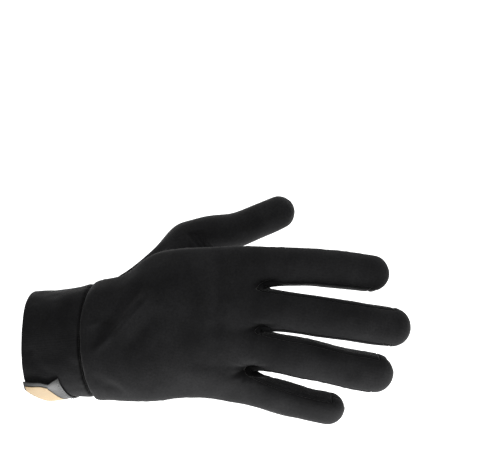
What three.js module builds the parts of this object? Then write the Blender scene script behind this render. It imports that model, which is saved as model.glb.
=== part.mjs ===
// Glove liner for the right hand, of black stretch jersey, in the filled shape it has when it is worn.
// Millimetres. The origin is the centre of the wrist opening, +X runs along the arm to the
// fingertips, +Y points to the thumb's side and +Z to the back of the hand.
import * as THREE from 'three';

// Cloth
const WALL = 1.2; // one layer of brushed jersey
const CUFF_WALL = 2.2; // two layers, folded at the free edge
const SEAM_GAP = 0.3; // clearance between one piece and the next

// Cuff, measured flat across and through the wrist
const CUFF_LENGTH = 36;
const CUFF_WIDTH = 61;
const CUFF_DEPTH = 46;

// Hand, from the cuff's seam to the crotch of the middle finger
const HAND_LENGTH = 105;
const HAND_WIDTH = 86;
const HAND_DEPTH = 25; // at the roots of the fingers
const PALM_HOLLOW = 3;

// Fingers: the middle one, from its crotch to its tip
const FINGER_LENGTH = 83;
const FINGER_WIDTH = 23;
const FINGER_DEPTH = 20;
const CROTCH_SLOPE = 8; // how much nearer the wrist a crotch is on the back of the hand

// Thumb, from the middle of its root in the palm to its tip
const THUMB_REACH = 106;
const THUMB_WIDTH = 22;

// Label on the free edge of the cuff
const LABEL_LENGTH = 19;
const LABEL_WALL = 1;
const LABEL_TOP = 131; // degrees round the cuff from the thumb's side over the back
const LABEL_BOTTOM = 196;
const FACE_LENGTH = 12.5;
const FACE_WALL = 0.6;
const FACE_INSET = 2; // from the label's edges

// Mesh: quads round a finger's back or front, up each of its sides, and rows along each form
const TOP_COLUMNS = 4;
const SIDE_COLUMNS = 4;
const SHAFT_ROWS = 8;
const CAP_ROWS = 3;
const THUMB_ROWS = 10;
const ROUNDNESS = 2.4; // exponent of the rounded sections, 2 is an ellipse
const HAND_CORNER = 0.95; // share of the hand's half width at which its sides begin
const SIDE_SPAN = 30; // degrees from a finger's widest point to its seams

// Cuff sections: share of the length, and of the width and depth
const CUFF_FORM = [
  { at: 0, width: 1, depth: 1 },
  { at: 0.35, width: 0.985, depth: 0.98 },
  { at: 0.8, width: 1.0, depth: 0.99 },
  { at: 1, width: 1.03, depth: 1.01 },
];

// Hand sections: share of the length; spread goes from the cuff's width (0) to the hand's (1) and
// thinning from the cuff's depth to the hand's; shift to the thumb's side is a share of the width,
// rise and arch are shares of the depth
const HAND_FORM = [
  { at: 0, spread: 0, thin: 0, shift: -0.006, rise: 0, arch: 0 },
  { at: 0.035, spread: 0.15, thin: -0.06, shift: -0.01, rise: 0, arch: 0 },
  { at: 0.09, spread: 0.27, thin: -0.03, shift: -0.014, rise: 0, arch: 0 },
  { at: 0.29, spread: 0.53, thin: 0.24, shift: -0.012, rise: 0.08, arch: 0.04 },
  { at: 0.44, spread: 0.91, thin: 0.4, shift: 0.03, rise: 0.14, arch: 0.08 },
  { at: 0.615, spread: 0.97, thin: 0.58, shift: 0.042, rise: 0.17, arch: 0.14 },
  { at: 0.827, spread: 1.0, thin: 0.8, shift: 0.028, rise: 0.15, arch: 0.22 },
  { at: 1, spread: 1.12, thin: 1, shift: 0.0, rise: 0.08, arch: 0.28 },
];

// Rows of quads along the hand
const HAND_ROWS = [
  0, 0.035, 0.09, 0.16, 0.235, 0.315, 0.395, 0.48, 0.565, 0.65, 0.72, 0.79, 0.86, 0.93, 1,
];

// Ends of the crotches and of the finger roots' outer sides, from the thumb's side:
// shares of the hand's length and width
const CROTCHES = [
  { along: 0.9, across: 0.52 },
  { along: 1.0, across: 0.222 },
  { along: 0.965, across: -0.052 },
  { along: 0.89, across: -0.307 },
  { along: 0.79, across: -0.52 },
];

// Fingers: shares of the middle finger's length, width and depth, rise of the root as a share of
// the hand's depth, turn to the thumb's side and downward curl in degrees at root, middle and tip,
// and roll to the thumb's side
const FINGERS = [
  {
    name: 'index', length: 0.91, width: 0.96, depth: 0.96, rise: -0.02,
    turn: [-6, -10, -15], curl: [7, 16, 27], roll: 8,
  },
  {
    name: 'middle', length: 1, width: 1, depth: 1, rise: 0.08,
    turn: [-13, -15, -10], curl: [7, 16, 27], roll: 0,
  },
  {
    name: 'ring', length: 0.93, width: 0.98, depth: 0.97, rise: 0.02,
    turn: [-15, -18, -13], curl: [8, 17, 28], roll: -12,
  },
  {
    name: 'little', length: 0.67, width: 0.84, depth: 0.86, rise: -0.17,
    turn: [-27, -20, -12], curl: [9, 17, 27], roll: -33,
  },
];

// Thumb path from its root: shares of the thumb's reach toward the fingertips, out from the
// palm and down from the back
const THUMB_PATH = [
  { along: 0, out: 0, down: 0 },
  { along: 0.135, out: 0.1, down: 0.038 },
  { along: 0.245, out: 0.235, down: 0.095 },
  { along: 0.385, out: 0.288, down: 0.128 },
  { along: 0.555, out: 0.305, down: 0.155 },
  { along: 0.695, out: 0.342, down: 0.165 },
  { along: 0.805, out: 0.378, down: 0.188 },
];
const THUMB_ROOT = { along: 0.235, out: 0.26, down: 0.24 }; // shares of the hand's length, width and depth

// Thumb sections: share of the path, and of the thumb's width across and through
const THUMB_FORM = [
  { at: 0, across: 1.2, through: 1.7 },
  { at: 0.2, across: 1.0, through: 1.5 },
  { at: 0.4, across: 1.1, through: 1.2 },
  { at: 0.5, across: 1.06, through: 1.08 },
  { at: 0.75, across: 0.93, through: 0.95 },
  { at: 1, across: 0.86, through: 0.86 },
];

// Share of the thumb's path from which its tube is round, rows between the notch and there, and how
// full that root is over the ball of the thumb and how hollow on the outer side
const THUMB_START = 0.41;
const THUMB_ROOT_ROWS = 3;
const BALL_FULLNESS = 3;
const OUTER_HOLLOW = 3;

// The notch for the thumb: rows along the hand and columns from the side seam into the palm
const NOTCH_ROWS = [3, 9];
const NOTCH_PALM_COLUMNS = 4;

const RING = 2 * (FINGERS.length * TOP_COLUMNS + SIDE_COLUMNS); // points round the hand
const FINGER_RING = 2 * (TOP_COLUMNS + SIDE_COLUMNS);
const RIGHT_BOTTOM = RING - SIDE_COLUMNS; // column of the palm's corner on the thumb's side
const HALF_GAP = SEAM_GAP / 2;
const MITRE = 0.2; // a sharp corner of a piece is drawn back by at most the half gap over this

const OUT_OF_PALM = new THREE.Vector3(0, 0.5, -0.87); // the way the ball of the thumb bulges

const radians = THREE.MathUtils.degToRad;
const mix = THREE.MathUtils.lerp;

// Value of a table's column at a share of its length, on a smooth curve through its rows
function form(table, column, share) {
  let i = 1;
  while (i < table.length - 1 && table[i].at < share) {
    i += 1;
  }
  const before = table[Math.max(i - 2, 0)];
  const [a, b] = [table[i - 1], table[i]];
  const after = table[Math.min(i + 1, table.length - 1)];
  const span = b.at - a.at;
  const startSlope = ((b[column] - before[column]) / (b.at - before.at || 1)) * span;
  const endSlope = ((after[column] - a[column]) / (after.at - a.at || 1)) * span;
  const t = (share - a.at) / span;
  const [t2, t3] = [t * t, t * t * t];
  return (2 * t3 - 3 * t2 + 1) * a[column] + (t3 - 2 * t2 + t) * startSlope
    + (3 * t2 - 2 * t3) * b[column] + (t3 - t2) * endSlope;
}

// Point of a rounded section of unit half width and half depth at an angle from the thumb's side
function roundSection(degrees) {
  const [c, s] = [Math.cos(radians(degrees)), Math.sin(radians(degrees))];
  return [Math.sign(c) * Math.abs(c) ** (2 / ROUNDNESS), Math.sign(s) * Math.abs(s) ** (2 / ROUNDNESS)];
}

// Angle of each column round a finger, from its seam on the back on the thumb's side
function fingerAngle(column) {
  const topStep = (180 - 2 * SIDE_SPAN) / TOP_COLUMNS;
  const sideStep = (2 * SIDE_SPAN) / SIDE_COLUMNS;
  const half = column % (TOP_COLUMNS + SIDE_COLUMNS);
  const base = column >= TOP_COLUMNS + SIDE_COLUMNS ? 180 : 0;
  const onTop = Math.min(half, TOP_COLUMNS);
  const turn = onTop * topStep + (half - onTop) * sideStep;
  return base + SIDE_SPAN + turn;
}

// Share across the hand of each column of its back, from the thumb's side to minus that on the other
function acrossShare(column) {
  const finger = Math.min(Math.floor(column / TOP_COLUMNS), FINGERS.length - 1);
  const from = CROTCHES[finger].across;
  const to = CROTCHES[finger + 1].across;
  const [first, last] = [CROTCHES[0].across, CROTCHES[FINGERS.length].across];
  const across = mix(from, to, (column - finger * TOP_COLUMNS) / TOP_COLUMNS);
  return HAND_CORNER * ((across - (first + last) / 2) / ((first - last) / 2));
}

// Unit section of the hand and the cuff at each column, with as many columns as the fingers need
function handSection(column) {
  const back = FINGERS.length * TOP_COLUMNS;
  const k = ((column % RING) + RING) % RING;
  const cornerAngle = Math.acos(HAND_CORNER ** (ROUNDNESS / 2)) * THREE.MathUtils.RAD2DEG;
  if (k <= back) {
    const s = acrossShare(k);
    return [s, (1 - Math.abs(s) ** ROUNDNESS) ** (1 / ROUNDNESS)];
  }
  if (k < back + SIDE_COLUMNS) {
    return roundSection(mix(180 - cornerAngle, 180 + cornerAngle, (k - back) / SIDE_COLUMNS));
  }
  if (k <= 2 * back + SIDE_COLUMNS) {
    const s = acrossShare(2 * back + SIDE_COLUMNS - k);
    return [s, -((1 - Math.abs(s) ** ROUNDNESS) ** (1 / ROUNDNESS))];
  }
  return roundSection(mix(-cornerAngle, cornerAngle, (k - 2 * back - SIDE_COLUMNS) / SIDE_COLUMNS));
}

// The outer surface of the cloth: shared points, and faces that name the piece they belong to
class ClothNet {
  constructor() {
    this.points = [];
    this.mobility = [];
    this.faces = [];
  }

  add(point, mobility = 0) {
    this.points.push(point);
    this.mobility.push(mobility);
    return this.points.length - 1;
  }

  face(piece, ...corners) {
    this.faces.push({ piece, corners });
  }

  // Moves each mobile point toward the mean of its neighbours
  relax(rounds) {
    const neighbours = this.points.map(() => new Set());
    for (const { corners } of this.faces) {
      corners.forEach((corner, i) => {
        const next = corners[(i + 1) % corners.length];
        neighbours[corner].add(next);
        neighbours[next].add(corner);
      });
    }
    for (let round = 0; round < rounds; round += 1) {
      this.points = this.points.map((point, i) => {
        if (!this.mobility[i]) {
          return point;
        }
        const mean = new THREE.Vector3();
        neighbours[i].forEach((j) => mean.add(this.points[j]));
        return point.clone().lerp(mean.divideScalar(neighbours[i].size), this.mobility[i]);
      });
    }
  }

  // Outward normal at each point, the mean of its faces' normals weighted by area
  normals() {
    const normals = this.points.map(() => new THREE.Vector3());
    for (const { corners } of this.faces) {
      const [a, b, c, d = a] = corners.map((i) => this.points[i]);
      const normal = c.clone().sub(a).cross(d.clone().sub(b));
      if (corners.length === 3) {
        normal.copy(b.clone().sub(a).cross(c.clone().sub(a)));
      }
      corners.forEach((corner) => normals[corner].add(normal));
    }
    return normals.map((normal) => normal.normalize());
  }
}

// Closed wall of one piece of the net: its outer faces, the same faces set in by the wall, and a
// rim all round, drawn back by half the seam gap
function wallOf(net, normals, piece, wall) {
  const faces = net.faces.filter((face) => face.piece === piece).map((face) => face.corners);
  const directed = new Set();
  const each = (visit) => faces.forEach((face) => (
    face.forEach((a, i) => visit(a, face[(i + 1) % face.length]))
  ));
  each((a, b) => directed.add(`${a} ${b}`));
  const rim = [];
  each((a, b) => {
    if (!directed.has(`${b} ${a}`)) {
      rim.push([a, b]);
    }
  });
  const inward = new Map();
  for (const [a, b] of rim) {
    const along = net.points[b].clone().sub(net.points[a]).normalize();
    for (const corner of [a, b]) {
      const side = normals[corner].clone().cross(along).normalize();
      inward.set(corner, [...(inward.get(corner) ?? []), side]);
    }
  }
  const index = new Map();
  const positions = [];
  const used = [...new Set(faces.flat())];
  for (const corner of used) {
    const point = net.points[corner].clone();
    const sides = inward.get(corner) ?? [];
    if (sides.length) {
      const mean = new THREE.Vector3();
      sides.forEach((side) => mean.addScaledVector(side, 1 / sides.length));
      point.addScaledVector(mean, HALF_GAP / Math.max(mean.lengthSq(), MITRE * mean.length()));
    }
    index.set(corner, positions.length / 3);
    positions.push(...point.toArray());
    positions.push(...point.addScaledVector(normals[corner], -wall).toArray());
  }
  const outer = (corner) => index.get(corner);
  const inner = (corner) => index.get(corner) + 1;
  const triangles = [];
  const fill = (a, b, c, d) => triangles.push(a, b, c, ...(d === undefined ? [] : [a, c, d]));
  for (const face of faces) {
    fill(...face.map(outer));
    fill(...face.map(inner).reverse());
  }
  // The twisted faces of a rim are split the same way on both sides of a seam
  for (const [a, b] of rim) {
    const loop = [outer(b), outer(a), inner(a), inner(b)];
    fill(...(a < b ? loop : [...loop.slice(1), loop[0]]));
  }
  return closedGeometry(positions, triangles);
}

function closedGeometry(positions, triangles) {
  const geometry = new THREE.BufferGeometry();
  geometry.setAttribute('position', new THREE.Float32BufferAttribute(positions, 3));
  geometry.setIndex(triangles);
  geometry.computeVertexNormals();
  return geometry;
}

// Width and depth of the cuff at a distance from its free edge
function cuffSize(x) {
  const share = THREE.MathUtils.clamp(x / CUFF_LENGTH, 0, 1);
  return [CUFF_WIDTH * form(CUFF_FORM, 'width', share), CUFF_DEPTH * form(CUFF_FORM, 'depth', share)];
}

// Point of the hand's formula section at a share of its length
function handPoint(share, column) {
  const [wristWidth, wristDepth] = cuffSize(CUFF_LENGTH);
  const width = mix(wristWidth, HAND_WIDTH, form(HAND_FORM, 'spread', share));
  const depth = mix(wristDepth, HAND_DEPTH, form(HAND_FORM, 'thin', share));
  const [across, up] = handSection(column);
  const hollow = up < 0 ? PALM_HOLLOW * Math.sin(Math.PI * share) * (1 - across * across) ** 2 : 0;
  const arch = form(HAND_FORM, 'arch', share) * HAND_DEPTH * across * across;
  const rise = form(HAND_FORM, 'rise', share) * HAND_DEPTH;
  return new THREE.Vector3(
    CUFF_LENGTH + share * HAND_LENGTH,
    form(HAND_FORM, 'shift', share) * HAND_WIDTH + (width / 2) * across,
    rise + (depth / 2) * up + hollow - arch,
  );
}

// Value at a share of a finger's length, on the parabola through its root, middle and tip values
function bend([root, middle, tip], share) {
  const t = 2 * share;
  return root * (1 - t) * (1 - t / 2) + middle * t * (2 - t) + (tip * t * (t - 1)) / 2;
}

// Centre line of a finger from its root, with the directions across and up at each step
function fingerLine(finger, number) {
  const length = finger.length * FINGER_LENGTH;
  const [from, to] = [CROTCHES[number], CROTCHES[number + 1]];
  const centre = new THREE.Vector3(
    CUFF_LENGTH + ((from.along + to.along) / 2) * HAND_LENGTH,
    ((from.across + to.across) / 2) * HAND_WIDTH,
    finger.rise * HAND_DEPTH,
  );
  const steps = 40;
  const line = [];
  for (let i = 0; i <= steps; i += 1) {
    const turn = radians(bend(finger.turn, i / steps));
    const curl = radians(bend(finger.curl, i / steps));
    const ahead = new THREE.Vector3(Math.cos(turn), Math.sin(turn), 0).multiplyScalar(Math.cos(curl));
    ahead.z = -Math.sin(curl);
    const across = new THREE.Vector3(-Math.sin(turn), Math.cos(turn), 0);
    across.applyAxisAngle(ahead, -radians(finger.roll));
    line.push({ centre: centre.clone(), across, up: ahead.clone().cross(across) });
    centre.addScaledVector(ahead, length / steps);
  }
  return (share) => {
    const before = Math.min(Math.floor(share * steps), steps - 1);
    const part = share * steps - before;
    const [a, b] = [line[before], line[before + 1]];
    const between = (key) => a[key].clone().lerp(b[key], part);
    return { centre: between('centre'), across: between('across'), up: between('up') };
  };
}

// Point of a finger's tube at a distance along it, with its section scaled for the rounded tip
function fingerPoint(finger, at, column, scale, share) {
  const [across, up] = roundSection(fingerAngle(column));
  const taper = 1 - 0.06 * share;
  const halfWidth = (finger.width * FINGER_WIDTH * taper * scale) / 2;
  const halfDepth = (finger.depth * FINGER_DEPTH * taper * scale) / 2;
  return at.centre.clone()
    .addScaledVector(at.across, halfWidth * across)
    .addScaledVector(at.up, halfDepth * up);
}

// Root loop of a finger: from crotch to crotch, nearer the wrist on the back than on the palm
function rootPoint(finger, number, at, column) {
  const [across, up] = roundSection(fingerAngle(column));
  const [edge] = roundSection(SIDE_SPAN);
  const [from, to] = [CROTCHES[number], CROTCHES[number + 1]];
  const share = THREE.MathUtils.clamp((1 - across / edge) / 2, 0, 1);
  const height = (finger.depth * FINGER_DEPTH * up) / 2;
  return new THREE.Vector3(
    CUFF_LENGTH + mix(from.along, to.along, share) * HAND_LENGTH - (CROTCH_SLOPE * (1 + up)) / 2,
    mix(from.across, to.across, share) * HAND_WIDTH,
    at.centre.z + height + at.across.z * (finger.width * FINGER_WIDTH * across) / 2,
  );
}

// Rows along a finger: shares of its length and the section's scale, round at the tip
function fingerRows(finger) {
  const length = finger.length * FINGER_LENGTH;
  const tip = (finger.width * FINGER_WIDTH) / 2;
  const rows = [];
  for (let i = 1; i <= SHAFT_ROWS; i += 1) {
    rows.push({ share: ((length - tip) / length) * (i / SHAFT_ROWS) ** 1.15, scale: 1 });
  }
  for (let i = 1; i <= CAP_ROWS; i += 1) {
    const angle = (Math.PI / 2) * (i / (CAP_ROWS + 1));
    rows.push({ share: (length - tip + tip * Math.sin(angle)) / length, scale: Math.cos(angle) });
  }
  return rows;
}

// Adds the hand's rows of points, and leaves the last row to the fingers' roots
function addHand(net, rootOf) {
  const rows = [];
  const last = HAND_ROWS.length - 1;
  HAND_ROWS.forEach((share, row) => {
    const pull = Math.max((share - 0.5) / 0.5, 0) ** 2;
    const loop = [];
    for (let k = 0; k < RING; k += 1) {
      const point = handPoint(share, k);
      const root = rootOf(k);
      const end = handPoint(1, k);
      point.x = CUFF_LENGTH + share * (root.x - CUFF_LENGTH);
      point.y += pull * (root.y - end.y);
      point.z += pull * (root.z - end.z);
      loop.push(net.add(point, row === last ? 0.3 : 0.5 * pull ** 2));
    }
    rows.push(loop);
  });
  return rows;
}

function pieceOfHand(row, column) {
  const k = ((column % RING) + RING) % RING;
  const ulnarSeam = FINGERS.length * TOP_COLUMNS + SIDE_COLUMNS / 2;
  const radialSeam = RING - SIDE_COLUMNS / 2;
  if (k < ulnarSeam || k >= radialSeam) {
    return 'back_panel';
  }
  const inNotch = row >= NOTCH_ROWS[0] && row < NOTCH_ROWS[1] && k >= RIGHT_BOTTOM - NOTCH_PALM_COLUMNS;
  return inNotch ? null : 'palm_panel';
}

function fourchetteName(number) {
  return `fourchette_${FINGERS[number].name}_${FINGERS[number + 1].name}`;
}

// Piece that a finger's face belongs to; past the last shaft row the back and the palm panels meet
function pieceOfFinger(number, row, column) {
  const sideStart = TOP_COLUMNS;
  const backMid = TOP_COLUMNS + SIDE_COLUMNS / 2;
  const palmStart = TOP_COLUMNS + SIDE_COLUMNS;
  const radialStart = 2 * TOP_COLUMNS + SIDE_COLUMNS;
  const radialMid = radialStart + SIDE_COLUMNS / 2;
  const inTip = row >= SHAFT_ROWS;
  if (!inTip && column >= sideStart && column < palmStart && number < FINGERS.length - 1) {
    return fourchetteName(number);
  }
  if (!inTip && column >= radialStart && number > 0) {
    return fourchetteName(number - 1);
  }
  return column < backMid || column >= radialMid ? 'back_panel' : 'palm_panel';
}

function buildGlove() {
  const net = new ClothNet();
  const lines = FINGERS.map(fingerLine);
  const back = FINGERS.length * TOP_COLUMNS;
  const roots = FINGERS.map((finger, number) => (column) => (
    rootPoint(finger, number, lines[number](0), column % FINGER_RING)
  ));
  const shared = (number, column, otherColumn) => (
    roots[number](column).add(roots[number + 1](otherColumn)).multiplyScalar(0.5)
  );
  // Root row of the hand: each column takes its place from the finger or the two fingers it meets
  const rootOf = (k) => {
    if (k > back && k < back + SIDE_COLUMNS) {
      return roots[FINGERS.length - 1](TOP_COLUMNS + (k - back));
    }
    if (k > RIGHT_BOTTOM) {
      return roots[0](2 * TOP_COLUMNS + SIDE_COLUMNS + (k - RIGHT_BOTTOM));
    }
    const top = k <= back;
    const across = top ? k : RIGHT_BOTTOM - k;
    const number = Math.min(Math.floor(across / TOP_COLUMNS), FINGERS.length - 1);
    const within = across - number * TOP_COLUMNS;
    const radialStart = 2 * TOP_COLUMNS + SIDE_COLUMNS;
    if (within === 0 && number > 0) {
      return top
        ? shared(number - 1, TOP_COLUMNS, 0)
        : shared(number - 1, TOP_COLUMNS + SIDE_COLUMNS, radialStart);
    }
    return roots[number](top ? within : radialStart - within);
  };
  const hand = addHand(net, rootOf);
  const handEnd = hand[hand.length - 1];
  for (let row = 0; row < hand.length - 1; row += 1) {
    for (let k = 0; k < RING; k += 1) {
      const piece = pieceOfHand(row, k);
      if (piece) {
        const next = (k + 1) % RING;
        net.face(piece, hand[row][k], hand[row][next], hand[row + 1][next], hand[row + 1][k]);
      }
    }
  }

  // Crotches: the points between the back's and the palm's corners that two fingers share
  const webs = [];
  for (let number = 0; number < FINGERS.length - 1; number += 1) {
    const web = [];
    for (let i = 1; i < SIDE_COLUMNS; i += 1) {
      web.push(net.add(shared(number, TOP_COLUMNS + i, FINGER_RING - i), 0.3));
    }
    webs.push(web);
  }

  FINGERS.forEach((finger, number) => {
    const loop = [];
    for (let m = 0; m < FINGER_RING; m += 1) {
      if (m <= TOP_COLUMNS) {
        loop.push(handEnd[number * TOP_COLUMNS + m]);
      } else if (m < TOP_COLUMNS + SIDE_COLUMNS) {
        const i = m - TOP_COLUMNS;
        loop.push(number < FINGERS.length - 1 ? webs[number][i - 1] : handEnd[back + i]);
      } else if (m <= 2 * TOP_COLUMNS + SIDE_COLUMNS) {
        loop.push(handEnd[RIGHT_BOTTOM - (number + 1) * TOP_COLUMNS + (m - TOP_COLUMNS - SIDE_COLUMNS)]);
      } else {
        const i = FINGER_RING - m - 1;
        loop.push(number > 0 ? webs[number - 1][i] : handEnd[RING - 1 - i]);
      }
    }
    const loops = [loop];
    fingerRows(finger).forEach(({ share, scale }, row) => {
      const fade = Math.max(1 - (row + 1) / 4, 0) ** 2;
      const next = [];
      for (let m = 0; m < FINGER_RING; m += 1) {
        const point = fingerPoint(finger, lines[number](share), m, scale, share);
        const offset = roots[number](m).sub(fingerPoint(finger, lines[number](0), m, 1, 0));
        next.push(net.add(point.addScaledVector(offset, fade), row < 2 ? 0.3 : 0));
      }
      loops.push(next);
    });
    for (let row = 0; row < loops.length - 1; row += 1) {
      for (let m = 0; m < FINGER_RING; m += 1) {
        const next = (m + 1) % FINGER_RING;
        const piece = pieceOfFinger(number, row, m);
        net.face(piece, loops[row][m], loops[row][next], loops[row + 1][next], loops[row + 1][m]);
      }
    }
    const pole = net.add(lines[number](1).centre.clone());
    const end = loops[loops.length - 1];
    for (let m = 0; m < FINGER_RING; m += 1) {
      net.face(pieceOfFinger(number, loops.length - 1, m), end[m], end[(m + 1) % FINGER_RING], pole);
    }
  });

  addThumb(net, hand);
  net.relax(4);
  return net;
}

// Rim of the thumb's notch: down its far end, back along the palm, up its near end and forward
// along the side seam
function notchRim(hand) {
  const [near, far] = NOTCH_ROWS;
  const palm = RIGHT_BOTTOM - NOTCH_PALM_COLUMNS;
  const seam = RING - SIDE_COLUMNS / 2;
  const rim = [];
  for (let k = seam; k > palm; k -= 1) {
    rim.push(hand[far][k]);
  }
  for (let row = far; row > near; row -= 1) {
    rim.push(hand[row][palm]);
  }
  for (let k = palm; k < seam; k += 1) {
    rim.push(hand[near][k]);
  }
  for (let row = near; row < far; row += 1) {
    rim.push(hand[row][seam]);
  }
  return rim;
}

function addThumb(net, hand) {
  const root = new THREE.Vector3(
    CUFF_LENGTH + THUMB_ROOT.along * HAND_LENGTH,
    THUMB_ROOT.out * HAND_WIDTH,
    -THUMB_ROOT.down * HAND_DEPTH,
  );
  const path = new THREE.CatmullRomCurve3(THUMB_PATH.map(({ along, out, down }) => (
    new THREE.Vector3(along, out, -down).multiplyScalar(THUMB_REACH).add(root)
  )));
  const rim = notchRim(hand);
  const count = rim.length;
  const farEnd = SIDE_COLUMNS / 2 + NOTCH_PALM_COLUMNS;
  const angleOf = (i) => ((i - farEnd / 2) * 2 * Math.PI) / count;
  const section = (share, i, scale, beyond = 0) => {
    const ahead = path.getTangentAt(share);
    const inner = new THREE.Vector3(0, 0, 1).cross(ahead).normalize().negate();
    const down = ahead.clone().cross(inner);
    const angle = angleOf(i);
    const across = (form(THUMB_FORM, 'across', share) * THUMB_WIDTH * scale) / 2;
    const through = (form(THUMB_FORM, 'through', share) * THUMB_WIDTH * scale) / 2;
    return path.getPointAt(share)
      .addScaledVector(ahead, beyond)
      .addScaledVector(inner, across * Math.cos(angle))
      .addScaledVector(down, through * Math.sin(angle));
  };
  const tip = (form(THUMB_FORM, 'across', 1) * THUMB_WIDTH) / 2;
  const loops = [rim];
  for (let row = 1; row <= THUMB_ROWS; row += 1) {
    loops.push(rim.map((corner, i) => {
      if (row >= THUMB_ROOT_ROWS) {
        const share = (row - THUMB_ROOT_ROWS) / (THUMB_ROWS - THUMB_ROOT_ROWS);
        return net.add(section(mix(THUMB_START, 1, share), i, 1));
      }
      const u = row / THUMB_ROOT_ROWS;
      const swell = 4 * u * (1 - u);
      const palmSide = Math.max(Math.sin(angleOf(i)), 0);
      const outerSide = Math.max(-Math.cos(angleOf(i)), 0);
      const point = net.points[corner].clone().lerp(section(THUMB_START, i, 1), u);
      point.addScaledVector(OUT_OF_PALM, swell * BALL_FULLNESS * palmSide);
      point.y -= swell * OUTER_HOLLOW * outerSide;
      return net.add(point, 0.15);
    }));
  }
  for (let i = 1; i <= CAP_ROWS; i += 1) {
    const angle = (Math.PI / 2) * (i / (CAP_ROWS + 1));
    loops.push(rim.map((_, j) => net.add(section(1, j, Math.cos(angle), tip * Math.sin(angle)))));
  }
  for (let row = 0; row < loops.length - 1; row += 1) {
    for (let i = 0; i < count; i += 1) {
      const next = (i + 1) % count;
      net.face('thumb', loops[row][i], loops[row][next], loops[row + 1][next], loops[row + 1][i]);
    }
  }
  const pole = net.add(path.getPointAt(1).addScaledVector(path.getTangentAt(1), tip));
  const end = loops[loops.length - 1];
  for (let i = 0; i < count; i += 1) {
    net.face('thumb', end[i], end[(i + 1) % count], pole);
  }
}

// The cuff: a closed band whose wall is folded round at the free edge
function buildCuff() {
  const nose = CUFF_WALL / 2;
  const steps = 5;
  const profile = [];
  for (let i = steps; i >= 0; i -= 1) {
    profile.push([mix(nose, CUFF_LENGTH - HALF_GAP, i / steps), 0]);
  }
  profile.push([nose * (1 - Math.SQRT1_2), nose * (1 - Math.SQRT1_2)]);
  profile.push([0, nose]);
  profile.push([nose * (1 - Math.SQRT1_2), nose * (1 + Math.SQRT1_2)]);
  for (let i = 0; i <= steps; i += 1) {
    profile.push([mix(nose, CUFF_LENGTH - HALF_GAP, i / steps), CUFF_WALL]);
  }
  const positions = [];
  for (const [x, inset] of profile) {
    const [width, depth] = cuffSize(x);
    for (let k = 0; k < RING; k += 1) {
      const [across, up] = handSection(k);
      positions.push(x, (width / 2 - inset) * across, (depth / 2 - inset) * up);
    }
  }
  const triangles = [];
  for (let row = 0; row < profile.length; row += 1) {
    const after = (row + 1) % profile.length;
    for (let k = 0; k < RING; k += 1) {
      const next = (k + 1) % RING;
      const [a, b, c, d] = [row * RING + k, row * RING + next, after * RING + next, after * RING + k];
      triangles.push(a, c, b, a, d, c);
    }
  }
  return closedGeometry(positions, triangles);
}

// A patch that lies on the cuff: from and to are distances from the free edge, top and bottom angles
// round the cuff, and lift is the height of its outer face over the cloth
function cuffPatch({ from, to, top, bottom, lift, wall }) {
  const net = new ClothNet();
  const [along, around] = [5, 8];
  const grid = [];
  for (let i = 0; i <= along; i += 1) {
    const x = mix(from, to, i / along);
    const [width, depth] = cuffSize(x);
    const loop = [];
    for (let j = 0; j <= around; j += 1) {
      const [across, up] = roundSection(mix(top, bottom, j / around));
      loop.push(net.add(new THREE.Vector3(x, (width / 2 + lift) * across, (depth / 2 + lift) * up)));
    }
    grid.push(loop);
  }
  for (let i = 0; i < along; i += 1) {
    for (let j = 0; j < around; j += 1) {
      net.face('patch', grid[i][j], grid[i][j + 1], grid[i + 1][j + 1], grid[i + 1][j]);
    }
  }
  return wallOf(net, net.normals(), 'patch', wall);
}

function buildLabel() {
  const lift = SEAM_GAP + LABEL_WALL;
  return cuffPatch({
    from: 0,
    to: LABEL_LENGTH,
    top: LABEL_TOP,
    bottom: LABEL_BOTTOM,
    lift,
    wall: LABEL_WALL,
  });
}

function buildLabelFace() {
  const lift = 2 * SEAM_GAP + LABEL_WALL + FACE_WALL;
  const inset = (FACE_INSET / (CUFF_DEPTH / 2)) * THREE.MathUtils.RAD2DEG;
  return cuffPatch({
    from: FACE_INSET / 2,
    to: FACE_INSET / 2 + FACE_LENGTH,
    top: LABEL_TOP + inset,
    bottom: LABEL_BOTTOM - inset,
    lift,
    wall: FACE_WALL,
  });
}

function finish(color, roughness) {
  return new THREE.MeshStandardMaterial({ color, roughness, metalness: 0 });
}

function named(name, geometry, material) {
  const mesh = new THREE.Mesh(geometry, material);
  mesh.name = name;
  return mesh;
}

const glove = new THREE.Group();
const net = buildGlove();
const normals = net.normals();
const clothPieces = ['back_panel', 'palm_panel', 'thumb', ...[0, 1, 2].map(fourchetteName)];
for (const piece of clothPieces) {
  glove.add(named(piece, wallOf(net, normals, piece, WALL), finish(0x242424, 0.85)));
}
glove.add(named('cuff', buildCuff(), finish(0x1d1d1d, 0.85)));
glove.add(named('label_tab', buildLabel(), finish(0x4c5350, 0.5)));
glove.add(named('label_face', buildLabelFace(), finish(0xdfc69e, 0.45)));

export default glove;
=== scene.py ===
"""Looks of a glove liner for the right hand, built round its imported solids.

The glove is sewn from black brushed stretch jersey in the filled shape it has on a hand: a back panel,
a palm panel, a strip between each two fingers, a set-in thumb and a doubled cuff with a label tab. Its cloth
is one net of quads whose places follow formulas, smoothed, given folds and seams as whole arrays, and then
cut into its panels. Lengths are millimetres until a mesh is made, which is in metres.
"""
import logging
import math
from dataclasses import dataclass, field
from enum import Enum
from typing import Callable

import bpy
import numpy as np
from mathutils import Matrix, Vector


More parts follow.
